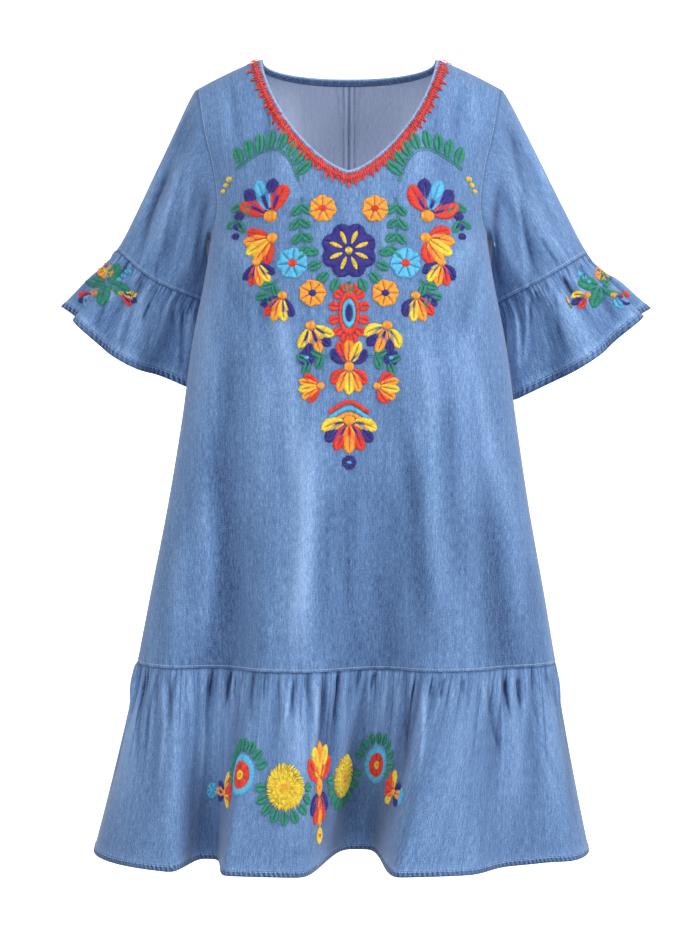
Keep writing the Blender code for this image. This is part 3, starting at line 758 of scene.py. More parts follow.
# Soft creases of the sleeves, by the angle round them and the share of the way down
SleeveCrease = namedtuple("SleeveCrease", "angle0 share0 angle1 share1 width height")
SLEEVE_CREASES = (
    SleeveCrease(30, 0.10, 24, 0.95, 9, 0.0022),
    SleeveCrease(52, 0.06, 46, 0.80, 8, -0.0024),
    SleeveCrease(78, 0.10, 66, 0.98, 9, 0.0030),
    SleeveCrease(104, 0.12, 88, 0.92, 8, -0.0028),
    SleeveCrease(132, 0.20, 112, 0.98, 9, 0.0026),
    SleeveCrease(158, 0.30, 136, 0.96, 8, -0.0024),
    SleeveCrease(-28, 0.10, -22, 0.90, 9, 0.0022),
    SleeveCrease(-60, 0.08, -50, 0.92, 9, -0.0024),
    SleeveCrease(-92, 0.12, -76, 0.96, 9, 0.0028),
    SleeveCrease(-128, 0.20, -108, 0.95, 9, -0.0024),
    SleeveCrease(-160, 0.30, -140, 0.95, 9, 0.0022),
    SleeveCrease(4, 0.30, 2, 0.98, 7, -0.0016),
)


def sleeve_surface(way):
    ring = CUFF_SEAMS[way]
    points, beyonds, normals = armhole(way)
    q = np.arange(len(points) * SLEEVE_PER_SPAN) / SLEEVE_PER_SPAN
    point = round_and_round(points, q)
    beyond = round_and_round(beyonds, q, True)
    normal = round_and_round(normals, q, True)
    gone = gone_along(loop(points))
    foot = len(points) // 2
    even = np.where(
        np.arange(len(gone)) <= foot,
        math.pi * gone / gone[foot],
        math.pi * (1 + (gone - gone[foot]) / (gone[-1] - gone[foot])),
    )
    angle = through(np.arange(len(even)), even, q)
    end, axis = ring_point(ring, way, angle)
    end = end + axis * 0.0005
    start = point + beyond * SEAM_GAP - normal * 0.0007 - beyond * 0.0012
    lead = point + beyond * (SEAM_GAP + SLEEVE_LEAD_IN)
    reach = np.linalg.norm(end - lead, axis=1)[:, None]
    under = ((1 - np.cos(angle)) / 2)[:, None]
    strength = SLEEVE_LEAVE_TOP + (SLEEVE_LEAVE_UNDER - SLEEVE_LEAVE_TOP) * under
    leave = unit(beyond + normal * SLEEVE_TURN_OUT * under) * strength
    land = end - axis * (SLEEVE_LEAD_IN + 0.0005)
    shares = np.linspace(0, 1, SLEEVE_ROWS)
    rows = [start, start * 0.5 + lead * 0.5 + normal * 0.0004]
    rows += [curve(lead, leave, land, axis * SLEEVE_ARRIVE * reach, t) for t in shares]
    rows += [end]
    p = np.array(rows)
    share = np.concatenate([[0, 0], shares, [1]])[:, None]
    surface = Surface(p, angle[None, :] * 0.075, share * 0.2, closed=True)
    out = surface.normals()
    row_mean = p.mean(axis=1, keepdims=True)
    out *= np.sign((out * (p - row_mean)).sum())
    degrees = np.degrees(angle)[None, :]
    bump = np.zeros(p.shape[:2])
    for c in SLEEVE_CREASES:
        t = (share - c.share0) / (c.share1 - c.share0)
        centre = c.angle0 + (c.angle1 - c.angle0) * t
        away = (degrees - centre + 180) % 360 - 180
        bump += c.height * fade(-0.1, 0.35, t) * (1 - fade(0.8, 1.1, t)) * np.exp(-((away / c.width) ** 2))
    small = np.sin(math.radians(1) * degrees * 33 + 1.5 * np.sin(math.radians(1) * degrees * 5))
    small = small * np.exp(-(((1 - share) / 0.07) ** 2))
    bump = bump + 0.0004 * small + 0.0003 * np.exp(-(((1 - share) / 0.014) ** 2))
    surface.points = p + out * (bump * fade(0, 0.12, share))[..., None]
    # Painted highlight on the creases' ridges and small wrinkles, painted shade in their troughs, and a paler
    # line at the cuff's seam
    surface.tone = surface.tone + bump * 70 + 0.10 * small + 0.08 * np.exp(-(((1 - share) / 0.008) ** 2))
    # Painted shade along the armhole seam
    surface.tone = surface.tone - 0.25 * np.exp(-((share / 0.012) ** 2))
    return seen_creases(surface, SLEEVE_SEEN_CREASES[way], tube=True)


def gathers(phase, share):
    """The source's own gathers: fine ones that die out downwards while wider ones take over."""
    fine = fade(-FINE_FULL / 2, FINE_FULL, share) * (1 - fade(FINE_FADES, FINE_GONE, share))
    wide = fade(WIDE_STARTS, WIDE_FULL, share) * (1 - fade(WIDE_FADES, WIDE_GONE, share))
    uneven = 1 + 0.35 * np.sin(phase * 0.9) + 0.25 * np.sin(phase * 0.37 + 1)
    wide_wave = np.cos(2 * np.pi * phase / WIDE_LENGTH + np.sin(phase))
    return uneven * (fine * np.cos(2 * np.pi * phase) + WIDE_HEIGHT * wide * wide_wave)


def puckers(phase, share, count, total, seed, closed, thin=False):
    """Sharper uneven pleats that start at the gathered seam. Thin ones are narrow grooves."""
    dice = np.random.RandomState(seed)
    step = total / count
    found = np.zeros(np.broadcast(phase, share).shape)
    for k in range(count):
        centre = (k + 0.5 + dice.uniform(-0.38, 0.38)) * step
        width = step * dice.uniform(0.16, 0.30)
        height = dice.uniform(0.25, 1.0) ** 1.3 * (1 if k % 2 else -0.8)
        length = dice.uniform(0.10, 0.34) if k % 5 else dice.uniform(0.4, 0.85)
        lean = dice.uniform(-0.5, 0.5) * step
        if thin:
            width, height, length = width * 0.42, -abs(height) - 0.25, length * 0.8
        away = phase - centre - lean * share / max(length, 0.2)
        if closed:
            away = (away + total / 2) % total - total / 2
        spread = width * (1 + 1.8 * share / max(length, 0.1) * 0.5)
        found += height * np.exp(-((away / spread) ** 2)) * (1 - fade(length * 0.35, length, share))
    return found * fade(-0.012, 0.030, share)


CUFF_SPANS = 360
CUFF_ROWS = 38


def cuff_surface(way):
    seam, hem = CUFF_SEAMS[way], CUFF_HEMS[way]
    angle = 2 * np.pi * np.arange(CUFF_SPANS) / CUFF_SPANS
    upper, axis = ring_point(seam, way, angle)
    lower, _ = ring_point(hem, way, angle)
    facing, _ = ring_point(hem, way, angle + np.pi)
    out = lower - facing
    out = unit(out - axis * (out @ axis)[:, None])
    near_hem = 1 - np.array([0.008, 0.0068, 0.005, 0.0035, 0.002, 0.0]) / 0.08
    shares = np.concatenate([crowd(CUFF_ROWS - 5, 1.5) * near_hem[0], near_hem[1:]])
    s = shares[:, None]
    long = np.linalg.norm(lower - upper, axis=1)
    down = axis * (s * long)[..., None]
    flared = upper + (lower - upper) * s[..., None] ** CUFF_FLARE_POWER
    blend = fade(0.0, CUFF_FLARE_TO, s)[..., None]
    p = (upper + down) * (1 - blend) + flared * blend
    flute = CUFF_FLUTES * angle + way * CUFF_FLUTE_PHASE + CUFF_FLUTE_UNEVEN * np.sin(angle)
    wave = CUFF_FLUTE_DEPTH * s * np.cos(flute)
    phase = CUFF_GATHERS * angle / (2 * np.pi)
    small = gathers(phase, s) * 0.75 + puckers(phase, s, 46, CUFF_GATHERS, 11 + way, True) * 1.15
    thin = puckers(phase, s, 92, CUFF_GATHERS, 51 + way, True, True)
    wave = wave + CUFF_GATHER_HEIGHT * (small + 0.7 * thin)
    wave = wave - 0.0009 * (1 - fade(0, 0.03, s)) + hem_roll(s, 0.08, angle * 0.075)
    p = p + out * wave[..., None]
    # Painted highlight on raised gathers and flute crests and painted shade in the grooves and recesses
    # between them, with the hem's bars and edge
    tone = 0.24 * small + 0.75 * thin + 0.20 * np.cos(flute) * s + hem_wear(s, 0.08, angle * 0.075)
    # Painted shade along the seam under the sleeve
    tone = tone - 0.65 * np.exp(-((s / 0.02) ** 2))
    surface = Surface(p, angle[None, :] * 0.075, s * 0.08, tone, closed=True)
    return seen_creases(surface, CUFF_CREASES[way], tube=True)


def hem_roll(share, deep, along):
    """The turned hem stands proud, with the small slanting ropes that its stitching twists into it."""
    up = (1 - share) * deep
    band = fade(0.0064, 0.0052, up)
    rope = np.sin(2 * np.pi * (along / 0.0054 + up / 0.011) + 1.3 * np.sin(along * 61))
    return band * (0.00045 + 0.00028 * rope)


def hem_wear(share, deep, along):
    """Dark and light bars across the turned hem, a dark edge and a light line over its stitching."""
    up = (1 - share) * deep
    band = fade(0.0064, 0.0054, up)
    bars = np.sin(2 * np.pi * (along / 0.0054 + up / 0.011) + 1.3 * np.sin(along * 61) + 0.6)
    patchy = 0.75 + 0.45 * np.sin(along * 23 + 1) * np.sin(along * 57)
    found = band * (-0.38 + 0.52 * bars * patchy) - 0.45 * fade(0.0018, 0.0004, up)
    return found + 0.30 * np.exp(-(((up - 0.0074) / 0.0012) ** 2))


def evenly(points, spans):
    """The same line with its points at even distances, and its length. Further columns are carried along."""
    along = gone_along(points[:, :3])
    want = along[-1] * np.arange(spans + 1) / spans
    return np.stack([np.interp(want, along, column) for column in points.T], axis=-1), along[-1]


def hem_outline(side, spans):
    """Points of the hem's level outline from -X to +X, at even distances along it."""
    turn = np.pi * (np.arange(1201) / 1200 - 0.5)
    across = signed_power(np.sin(turn), 2 / HEM.roundness)
    deep = np.abs(np.cos(turn)) ** (2 / HEM.roundness)
    x, y = HEM.half_width * across, np.full(turn.shape, HEM.front if side < 0 else HEM.back)
    low = np.zeros(turn.shape)
    for flute in HEM_FLUTES:
        if flute.side == side:
            dip = dip_shape((HEM.half_width * across - flute.across) / flute.half_width, FLUTE_POWER)
            y = y - flute.depth * dip
            x = x + flute.lean * dip
            # How deep each flute goes, for painted shade in its recess
            low = low + dip * min(flute.depth / 0.08, 1.0)
    line = lay(x + HEM.shift, side * (deep * y + SEAM_GAP / 2), 0)
    return evenly(np.concatenate([line, low[:, None]], axis=1), spans)


HEM_SPANS = 600
HEM_ROWS = 44


def hem_surface(side):
    turn = np.pi * (np.arange(1201) / 1200 - 0.5)
    seam = torso(side, turn, HEM_SEAM_DROP)
    seam[:, 2] = 0
    upper, _ = evenly(seam, HEM_SPANS)
    lower, long = hem_outline(side, HEM_SPANS)
    low, lower = lower[:, 3], lower[:, :3]
    deep = HEM_DROP - HEM_SEAM_DROP
    near_hem = 1 - np.array([0.0085, 0.007, 0.0052, 0.0035, 0.0018, 0.0]) / deep
    shares = np.concatenate([crowd(HEM_ROWS - 5, 1.45) * near_hem[0], near_hem[1:]])
    shares[0] = -0.010
    s = shares[:, None]
    flare = (np.maximum(s, 0) ** HEM_FLARE_POWER)[..., None]
    line = upper * (1 - flare) + lower * flare
    along = unit(np.gradient(line, axis=1))
    out = lay(along[..., 1], -along[..., 0], 0) * -side
    phase = np.arange(HEM_SPANS + 1) / HEM_SPANS * HEM_GATHERS
    at_ends = fade(0, 1, phase) * fade(0, 1, HEM_GATHERS - phase)
    small = gathers(phase, s) * 0.8 + puckers(phase, s, 62, HEM_GATHERS, 30 + side, False) * 1.5
    thin = puckers(phase, s, 118, HEM_GATHERS, 70 + side, False, True)
    cut_along = long * (np.arange(HEM_SPANS + 1) / HEM_SPANS - 0.5)
    wave = HEM_GATHER_HEIGHT * (small + 0.6 * thin) * at_ends + hem_roll(s, deep, cut_along)
    wave = wave - 0.0011 * (1 - fade(-0.01, 0.02, s))
    p = line + out * wave[..., None]
    p[..., 2] = -HEM_SEAM_DROP - s * deep
    # Painted highlight on raised gathers and painted shade in their grooves, with the hem's bars and edge
    tone = (0.20 * small + 0.70 * thin) * at_ends + hem_wear(s, deep, cut_along)
    # Painted shade in the deep flutes and along the seam under the body's edge
    tone = tone - 0.30 * low * fade(0, 0.8, s) - 0.80 * np.exp(-(((s + 0.002) / 0.010) ** 2))
    return seen_creases(Surface(p, cut_along[None, :], s * deep, tone), HEM_CREASES), long


BINDING_PER_COLUMN = 10
BAND_ROWS = 7


def binding_surface():
    """A rounded band round the neck, between the panels' edge and the opening."""
    rows = []
    for band in np.linspace(SEAM_GAP / BINDING_WIDTH - 0.10, 1.0, BAND_ROWS):
        loop = []
        for side in (-1, 1):
            last = NECKLINES[side].columns
            fine = np.arange(last * BINDING_PER_COLUMN) / BINDING_PER_COLUMN
            for way, columns in ((side, fine), (-side, last - fine)):
                turn, drop = neck_turn_drop(side, columns, band)
                loop.append(torso(side, way * turn, drop, gap=0))
        rows.append(np.concatenate(loop))
    p = np.array(rows)
    along = gone_along(p[-1])
    tone = np.array((-0.5, 0.1, -0.1, 0.0, 0.1, 0.5, 0.7))[:, None] * np.ones(p.shape[:2])
    return Surface(p, along[None, :], np.linspace(0, BINDING_WIDTH, BAND_ROWS)[:, None], tone, closed=True)


def outward(surface, tube):
    """True where the grid's faces already look outwards."""
    p = surface.points
    middle = p.mean(axis=1, keepdims=True) if tube else p * np.array((0, 0, 1))
    return (surface.normals() * (p - middle)).sum() > 0


# Materials


def colour(red, green, blue):
    """A colour given as it looks on a screen, from 0 to 255."""
    parts = [c / 255 for c in (red, green, blue)]
    return tuple(c / 12.92 if c <= 0.04045 else ((c + 0.055) / 1.055) ** 2.4 for c in parts) + (1.0,)


class Nodes:
    """A small helper that adds and links nodes of one material."""

    def __init__(self, name):
        self.material = bpy.data.materials.new(name)
        self.material.use_nodes = True
        self.tree = self.material.node_tree
        self.shader = self.tree.nodes["Principled BSDF"]

    def link(self, source, target):
        self.tree.links.new(source, target)

    def add(self, kind, **settings):
        node = self.tree.nodes.new(kind)
        for key, value in settings.items():
            setattr(node, key, value)
        return node

    def maths(self, operation, one, two=0.0, clamp=False):
        node = self.add("ShaderNodeMath", operation=operation, use_clamp=clamp)
        for socket, value in zip(node.inputs, (one, two)):
            if isinstance(value, (int, float)):
                socket.default_value = value
            else:
                self.link(value, socket)
        return node.outputs[0]

    def mix(self, factor, one, two):
        node = self.add("ShaderNodeMix", data_type="RGBA", blend_type="MIX")
        for socket, value in ((node.inputs[0], factor), (node.inputs[6], one), (node.inputs[7], two)):
            if isinstance(value, (int, float, tuple)):
                socket.default_value = value
            else:
                self.link(value, socket)
        return node.outputs[2]

    def coordinates(self, scale, turned=0.0):
        source = self.add("ShaderNodeUVMap", uv_map="cloth")
        mapping = self.add("ShaderNodeMapping")
        mapping.inputs["Scale"].default_value = scale
        mapping.inputs["Rotation"].default_value = (0, 0, turned)
        self.link(source.outputs[0], mapping.inputs["Vector"])
        return mapping.outputs[0]

    def noise(self, vector, scale, detail=2.0, rough=0.5):
        node = self.add("ShaderNodeTexNoise")
        node.inputs["Scale"].default_value = scale
        node.inputs["Detail"].default_value = detail
        node.inputs["Roughness"].default_value = rough
        self.link(vector, node.inputs["Vector"])
        return node.outputs[0]

    def spread(self, value, low, high, to_low=0.0, to_high=1.0):
        node = self.add("ShaderNodeMapRange")
        for socket, number in zip(node.inputs[1:5], (low, high, to_low, to_high)):
            socket.default_value = number
        self.link(value, node.inputs[0])
        return node.outputs[0]

    def wave(self, vector, scale, direction="X"):
        node = self.add("ShaderNodeTexWave", bands_direction=direction)
        node.inputs["Scale"].default_value = scale
        node.inputs["Detail"].default_value = 1.0
        self.link(vector, node.inputs["Vector"])
        return node.outputs[1]

    def bump(self, height, strength, distance, before=None):
        node = self.add("ShaderNodeBump")
        node.inputs["Strength"].default_value = strength
        node.inputs["Distance"].default_value = distance
        self.link(height, node.inputs["Height"])
        if before is not None:
            self.link(before, node.inputs["Normal"])
        return node.outputs[0]


def denim_material(name, mid, light, dark, contrast):
    """Washed denim: slubby warp streaks, a fine twill, soft fading, and from the tone layer worn edges with
    painted shade and highlight of creases, folds and gathers.
    """
    n = Nodes(name)
    mid, light, dark = colour(*mid), colour(*light), colour(*dark)
    slubs = n.noise(n.coordinates((640, 105, 1)), 1.0, 3.0, 0.6)
    streaks = n.noise(n.coordinates((210, 14, 1)), 1.0, 2.0, 0.6)
    threads = n.noise(n.coordinates((2400, 260, 1)), 1.0, 1.0)
    grain = n.noise(n.coordinates((950, 850, 1)), 1.0, 2.0, 0.7)
    cloudy = n.noise(n.coordinates((12, 6, 1)), 1.0, 3.0, 0.6)
    twill = n.wave(n.coordinates((1.0, 1.0, 1), turned=math.radians(58)), 560.0)
    total = n.maths("MULTIPLY", n.maths("SUBTRACT", slubs, 0.5), 1.5 * contrast)
    for value, share in ((threads, 0.9), (grain, 1.9), (cloudy, 0.5), (streaks, 0.6), (twill, 0.15)):
        total = n.maths("ADD", total, n.maths("MULTIPLY", n.maths("SUBTRACT", value, 0.5), share * contrast))
    # The tone layer adds worn edges and hem bars, and painted shade and highlight of the creases, folds,
    # gathers and seams
    tone = n.add("ShaderNodeUVMap", uv_map="tone")
    split = n.add("ShaderNodeSeparateXYZ")
    n.link(tone.outputs[0], split.inputs[0])
    total = n.maths("ADD", total, split.outputs[0])
    up = n.maths("MAXIMUM", total, 0.0, clamp=True)
    down = n.maths("MAXIMUM", n.maths("MULTIPLY", total, -1.0), 0.0, clamp=True)
    base = n.mix(down, n.mix(up, mid, light), dark)
    n.link(base, n.shader.inputs["Base Color"])
    n.shader.inputs["Roughness"].default_value = 0.88
    n.shader.inputs["Sheen Weight"].default_value = 0.18
    n.shader.inputs["Sheen Roughness"].default_value = 0.5
    n.shader.inputs["Specular IOR Level"].default_value = 0.18
    rough = n.spread(total, -1.0, 1.0, 0.80, 0.95)
    n.link(rough, n.shader.inputs["Roughness"])
    first = n.bump(twill, 0.25, 0.00012)
    second = n.bump(threads, 0.35, 0.00020, first)
    third = n.bump(slubs, 0.35, 0.00035, second)
    n.link(third, n.shader.inputs["Normal"])
    return n.material


OUTSIDE = denim_material("denim_outside", (92, 125, 170), (152, 184, 228), (30, 48, 90), 1.0)
INSIDE = denim_material("denim_inside", (196, 210, 238), (222, 232, 246), (120, 140, 180), 0.8)
BOUND = denim_material("denim_bound", (88, 118, 162), (158, 186, 226), (28, 44, 84), 1.2)


# The garment

grids = {}


def make(
    node, surfaces,
    tube=False, thickness=CLOTH, materials=(OUTSIDE, INSIDE), merge=False,
):
    """One sheet of cloth that stands for its node, with the size it was cut to."""
    flip = not outward(surfaces[0], tube)
    piece = mesh_of(f"{node}_cloth", surfaces, materials, thickness, flip, merge)
    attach(piece, "root")
    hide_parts(node)
    grids[node] = surfaces


make("front_panel", front_surfaces(), merge=True)
make("back_panel_left", [back_surface(1)])
make("back_panel_right", [back_surface(-1)])
for word, way in (("left", 1), ("right", -1)):
    make(f"sleeve_{word}", [sleeve_surface(way)], tube=True)
    make(f"sleeve_ruffle_{word}", [cuff_surface(way)], tube=True)
for word, side in (("front", -1), ("back", 1)):
    surface, long = hem_surface(side)
    make(f"hem_ruffle_{word}", [surface])
make(
    "neck_binding", [binding_surface()],
    tube=True, thickness=BINDING, materials=(BOUND, BOUND),
)


# Embroidery: every stitch is a strand of thread that leaves the cloth, arches over it and goes back in

THREADS = {
    "red": colour(224, 58, 38),
    "navy": colour(44, 36, 128),
    "green": colour(38, 136, 112),
    "orange": colour(247, 160, 44),
    "yellow": colour(240, 208, 62),
    "sky": colour(86, 180, 222),
    "pale": colour(172, 194, 228),
}
THREAD = 0.00047
MOST_STRETCH = 3.6
STATIONS = np.array((0.0, 0.26, 0.74, 1.0))
RISE = np.array((0.0, 0.96, 0.96, 0.0))
WIDTHS = np.array((0.6, 1.0, 1.0, 0.6))
ROUND = np.radians((-20, 40, 90, 140, 200))


def thread_material(name, tint):
    """Stranded cotton: a soft sheen and the twist of its plies, with a tone of its own for each stitch and
    painted shade along its sides.
    """
    n = Nodes(name)
    tone = n.add("ShaderNodeUVMap", uv_map="tone")
    split = n.add("ShaderNodeSeparateXYZ")
    n.link(tone.outputs[0], split.inputs[0])
    twist = n.wave(n.coordinates((1.0, 0.00035, 1)), 360.0, direction="DIAGONAL")
    fuzz = n.noise(n.coordinates((2400, 1.5, 1)), 1.0, 2.0)
    shade = n.maths("ADD", split.outputs[0], n.maths("MULTIPLY", n.maths("SUBTRACT", fuzz, 0.5), 0.35))
    shade = n.maths("ADD", shade, n.maths("MULTIPLY", n.maths("SUBTRACT", twist, 0.6), 0.22))
    # Painted shade along each stitch's sides, where it meets the next
    place = n.add("ShaderNodeSeparateXYZ")
    n.link(n.coordinates((1, 1, 1)), place.inputs[0])
    edge = n.maths("ABSOLUTE", n.maths("SUBTRACT", n.maths("MULTIPLY", place.outputs[1], 2.0), 1.0))
    shade = n.maths("SUBTRACT", shade, n.maths("MULTIPLY", n.maths("POWER", edge, 3.0), 0.9))
    light = tuple(min(1.0, c * 1.35 + 0.03) for c in tint[:3]) + (1.0,)
    dark = tuple(c * 0.25 for c in tint[:3]) + (1.0,)
    up = n.maths("MAXIMUM", shade, 0.0, clamp=True)
    down = n.maths("MAXIMUM", n.maths("MULTIPLY", shade, -1.0), 0.0, clamp=True)
    n.link(n.mix(down, n.mix(up, tint, light), dark), n.shader.inputs["Base Color"])
    n.link(n.spread(shade, -0.5, 0.5, 0.62, 0.46), n.shader.inputs["Roughness"])
    n.shader.inputs["Sheen Weight"].default_value = 0.25
    n.shader.inputs["Sheen Roughness"].default_value = 0.4
    n.shader.inputs["Specular IOR Level"].default_value = 0.35
    n.link(n.bump(twist, 0.5, 0.00012), n.shader.inputs["Normal"])
    return n.material


class Sewing:
    """Collects stitches by colour, in flat coordinates of a piece of cloth, and makes them as meshes."""

    def __init__(self, name, place, unit_size):
        self.name, self.place, self.unit_size = name, place, unit_size
        self.stitches = {}
        self.dice = np.random.RandomState(abs(hash_name(name)))

    def stitch(self, tint, a, b, rise=0.0011, thick=1.45, tone=0.0):
        tone = tone + self.dice.uniform(-0.26, 0.26)
        self.stitches.setdefault(tint, []).append((*a, *b, rise, thick, tone))

    def satin(self, tint, first, second, spacing=1.15, rise=0.0014, slant=0.0, ragged=0.4, gap=0.0):
        """Stitches side by side from one line to the other. slant moves the far ends along by a share."""
        first, second = dense(first), dense(second)
        long = max(run_of(first), run_of(second))
        count = max(int(long / spacing), 2)
        t = (np.arange(count) + 0.5) / count
        a, b = read(first, t), read(second, np.clip(t + slant, 0, 1))
        cut = self.dice.uniform(-ragged, ragged, (count, 1))
        way = b - a
        far = np.linalg.norm(way, axis=1, keepdims=True)
        way = way / np.maximum(far, 1e-6)
        a, b = a + way * gap, b + way * cut
        for p, q, d in zip(a, b, far[:, 0]):
            if d > 0.5:
                self.stitch(tint, p, q, rise * min(1.0, 0.45 + d / 9))

    def leaf(self, tint, base, tip, width, bend=0.0, fullness=1.12, point=0.46, slant=0.12):
        """Two rows of slanting stitches from a vein to the two edges."""
        base, tip = np.array(base, float), np.array(tip, float)
        t = np.linspace(0, 1, 25)[:, None]
        run = (tip - base) * 1.05
        side = np.array((-run[1], run[0])) / max(np.linalg.norm(run), 1e-6)
        axis = base + run * t + side * bend * 4 * t * (1 - t)
        half = width * 0.62 * np.sin(np.pi * t**fullness) ** point
        for way in (-1, 1):
            self.satin(tint, axis, axis + side * way * half, 1.2, slant=slant, gap=0.3)

    def disc(self, tint, centre, radius, turn=0.0):
        centre, d = np.array(centre, float), np.linspace(-0.96, 0.96, 21)[:, None] * radius
        half = np.sqrt(np.maximum(radius**2 - d**2, 0))
        c, s = math.cos(turn), math.sin(turn)
        one, two = np.array((c, s)), np.array((-s, c))
        self.satin(tint, centre + one * d - two * half, centre + one * d + two * half, rise=0.0016)

    def ring(self, tint, centre, inner, outer, spacing=1.2, ragged=0.6):
        a = np.radians(np.linspace(0, 360, 61))[:, None]
        spoke = np.concatenate([np.cos(a), np.sin(a)], axis=1)
        centre = np.array(centre, float)
        self.satin(tint, centre + spoke * inner, centre + spoke * outer, spacing, ragged=ragged)

    def flower(self, tint, centre, inner, outer, petals, width, turn=0.0):
        for k in range(petals):
            a = turn + 2 * math.pi * k / petals
            spoke = round_at(a)
            start, end = np.array(centre) + spoke * inner, np.array(centre) + spoke * outer
            self.leaf(tint, start, end, width, fullness=1.1, point=0.5, slant=0.08)

    def pompon(self, tint, middle_tint, centre, radius):
        centre = np.array(centre, float)
        self.disc(tint, centre, radius * 0.97, turn=0.5)
        for low, high, lean in ((0.74, 1.04, 0.10), (0.52, 0.80, -0.14), (0.30, 0.58, 0.16)):
            count = int(2 * math.pi * radius * (low + high) / 2 / 1.35)
            for k in range(count):
                a = 2 * math.pi * (k + self.dice.uniform(-0.25, 0.25)) / count
                b = a + lean + self.dice.uniform(-0.12, 0.12)
                r0, r1 = radius * low, radius * (high + self.dice.uniform(-0.05, 0.05))
                p = centre + r0 * round_at(a)
                q = centre + r1 * round_at(b)
                self.stitch(tint, p, q, 0.0026, 1.4, -0.35 if k % 4 == 0 else 0.1)
        for k in range(int(radius * 1.1)):
            a, r = self.dice.uniform(0, 2 * math.pi), radius * self.dice.uniform(0.0, 0.26)
            p = centre + r * round_at(a)
            q = p + self.dice.uniform(1.2, 2.4) * round_at(a + 1)
            self.stitch(middle_tint, p, q, 0.0030, 1.3)

    def stem(self, tint, points, step=2.6, thick=1.0, pair=1.1):
        line = dense(points)
        if pair:
            way = unit(np.gradient(line, axis=0))
            off = np.stack([-way[:, 1], way[:, 0]], axis=-1) * pair
            self.stem(tint, line - off, step, thick, 0)
            line = line + off
        count = max(int(run_of(line) / step), 1)
        at = read(line, np.arange(count + 1) / count)
        for p, q in zip(at, at[1:]):
            more = (q - p) * 0.18
            self.stitch(tint, p - more, q + more, 0.0006, thick)

    def chevron(self, tint, peak, left, right, thick):
        """A bent band of upright stitches, such as one of a stack of arrow heads."""
        line = np.array((left, peak, right), float)
        self.satin(tint, line - np.array((0, thick / 2)), line + np.array((0, thick / 2)), 1.2)

    def build(self):
        for tint, rows in self.stitches.items():
            self.mesh(tint, np.array(rows))

    def mesh(self, tint, rows):
        a, b = rows[:, 0:2], rows[:, 2:4]
        flat = a[:, None] + (b - a)[:, None] * STATIONS[None, :, None]
        points, normals = self.place(flat.reshape(-1, 2))
        points, normals = points.reshape(len(rows), -1, 3), normals.reshape(len(rows), -1, 3)
        stretch = np.linalg.norm(points[:, -1] - points[:, 0], axis=-1) / np.linalg.norm(b - a, axis=-1)
        kept = stretch < MOST_STRETCH * self.unit_size
        rows, points, normals = rows[kept], points[kept], normals[kept]
        count = len(rows)
        along = unit(np.gradient(points, axis=1))
        side = unit(np.cross(along, normals))
        thick = THREAD * rows[:, 5]
        lift = (RISE[None, :] * rows[:, 4][:, None] + 0.00002)[..., None] * normals
        ring = side[:, :, None] * np.cos(ROUND)[None, None, :, None]
        ring = ring + normals[:, :, None] * np.sin(ROUND)[None, None, :, None]
        width = (thick[:, None] * WIDTHS[None, :])[..., None, None]
        verts = (points + lift)[:, :, None] + ring * width
        stations, spokes = len(STATIONS), len(ROUND)
        ids = np.arange(count * stations * spokes).reshape(count, stations, spokes)
        around = (ids[:, :-1, :-1], ids[:, 1:, :-1], ids[:, 1:, 1:], ids[:, :-1, 1:])
        q = np.stack(around, axis=-1).reshape(-1, 4)
        far = np.linalg.norm(np.diff(points, axis=1), axis=-1)
        gone = np.concatenate([np.zeros((count, 1)), np.cumsum(far, axis=1)], axis=1)
        u = gone + self.dice.uniform(0, 1, (count, 1))
        u = np.broadcast_to(u[:, :, None], ids.shape).reshape(-1)
        v = np.broadcast_to(np.linspace(0, 1, spokes)[None, None, :], ids.shape).reshape(-1)
        tone = np.broadcast_to(rows[:, 6][:, None, None], ids.shape).reshape(-1)
        data = bpy.data.meshes.new(f"{self.name}_{tint}")
        data.from_pydata(verts.reshape(-1, 3).tolist(), [], q[:, ::-1].tolist())
        corners = q[:, ::-1].reshape(-1)
        add_layer(data, "cloth", np.stack([u[corners], v[corners]], axis=-1))
        add_layer(data, "tone", np.stack([tone[corners], tone[corners] * 0], axis=-1))
        data.shade_smooth()
        data.materials.append(THREAD_MATERIALS[tint])
        piece = add_object(f"{self.name}_{tint}", data)
        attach(piece, "root")


def hash_name(name):
    return sum((k + 1) * ord(c) for k, c in enumerate(name)) % 100000


def dense(points):
    """A finer smooth line through a few points."""
    points = np.asarray(points, float)
    if len(points) > 12 or len(points) < 3:
        return points
    return through(np.arange(len(points)), points, np.linspace(0, len(points) - 1, 6 * len(points)))


def round_at(angle):
    return np.array((math.cos(angle), math.sin(angle)))


def run_of(points):
    return float(np.linalg.norm(np.diff(points, axis=0), axis=1).sum())


def read(points, t):
    """Points at even shares of the length of a line."""
    gone = gone_along(points)
    want = np.clip(t, 0, 1) * gone[-1]
    return np.stack([np.interp(want, gone, points[:, k]) for k in range(2)], axis=-1)


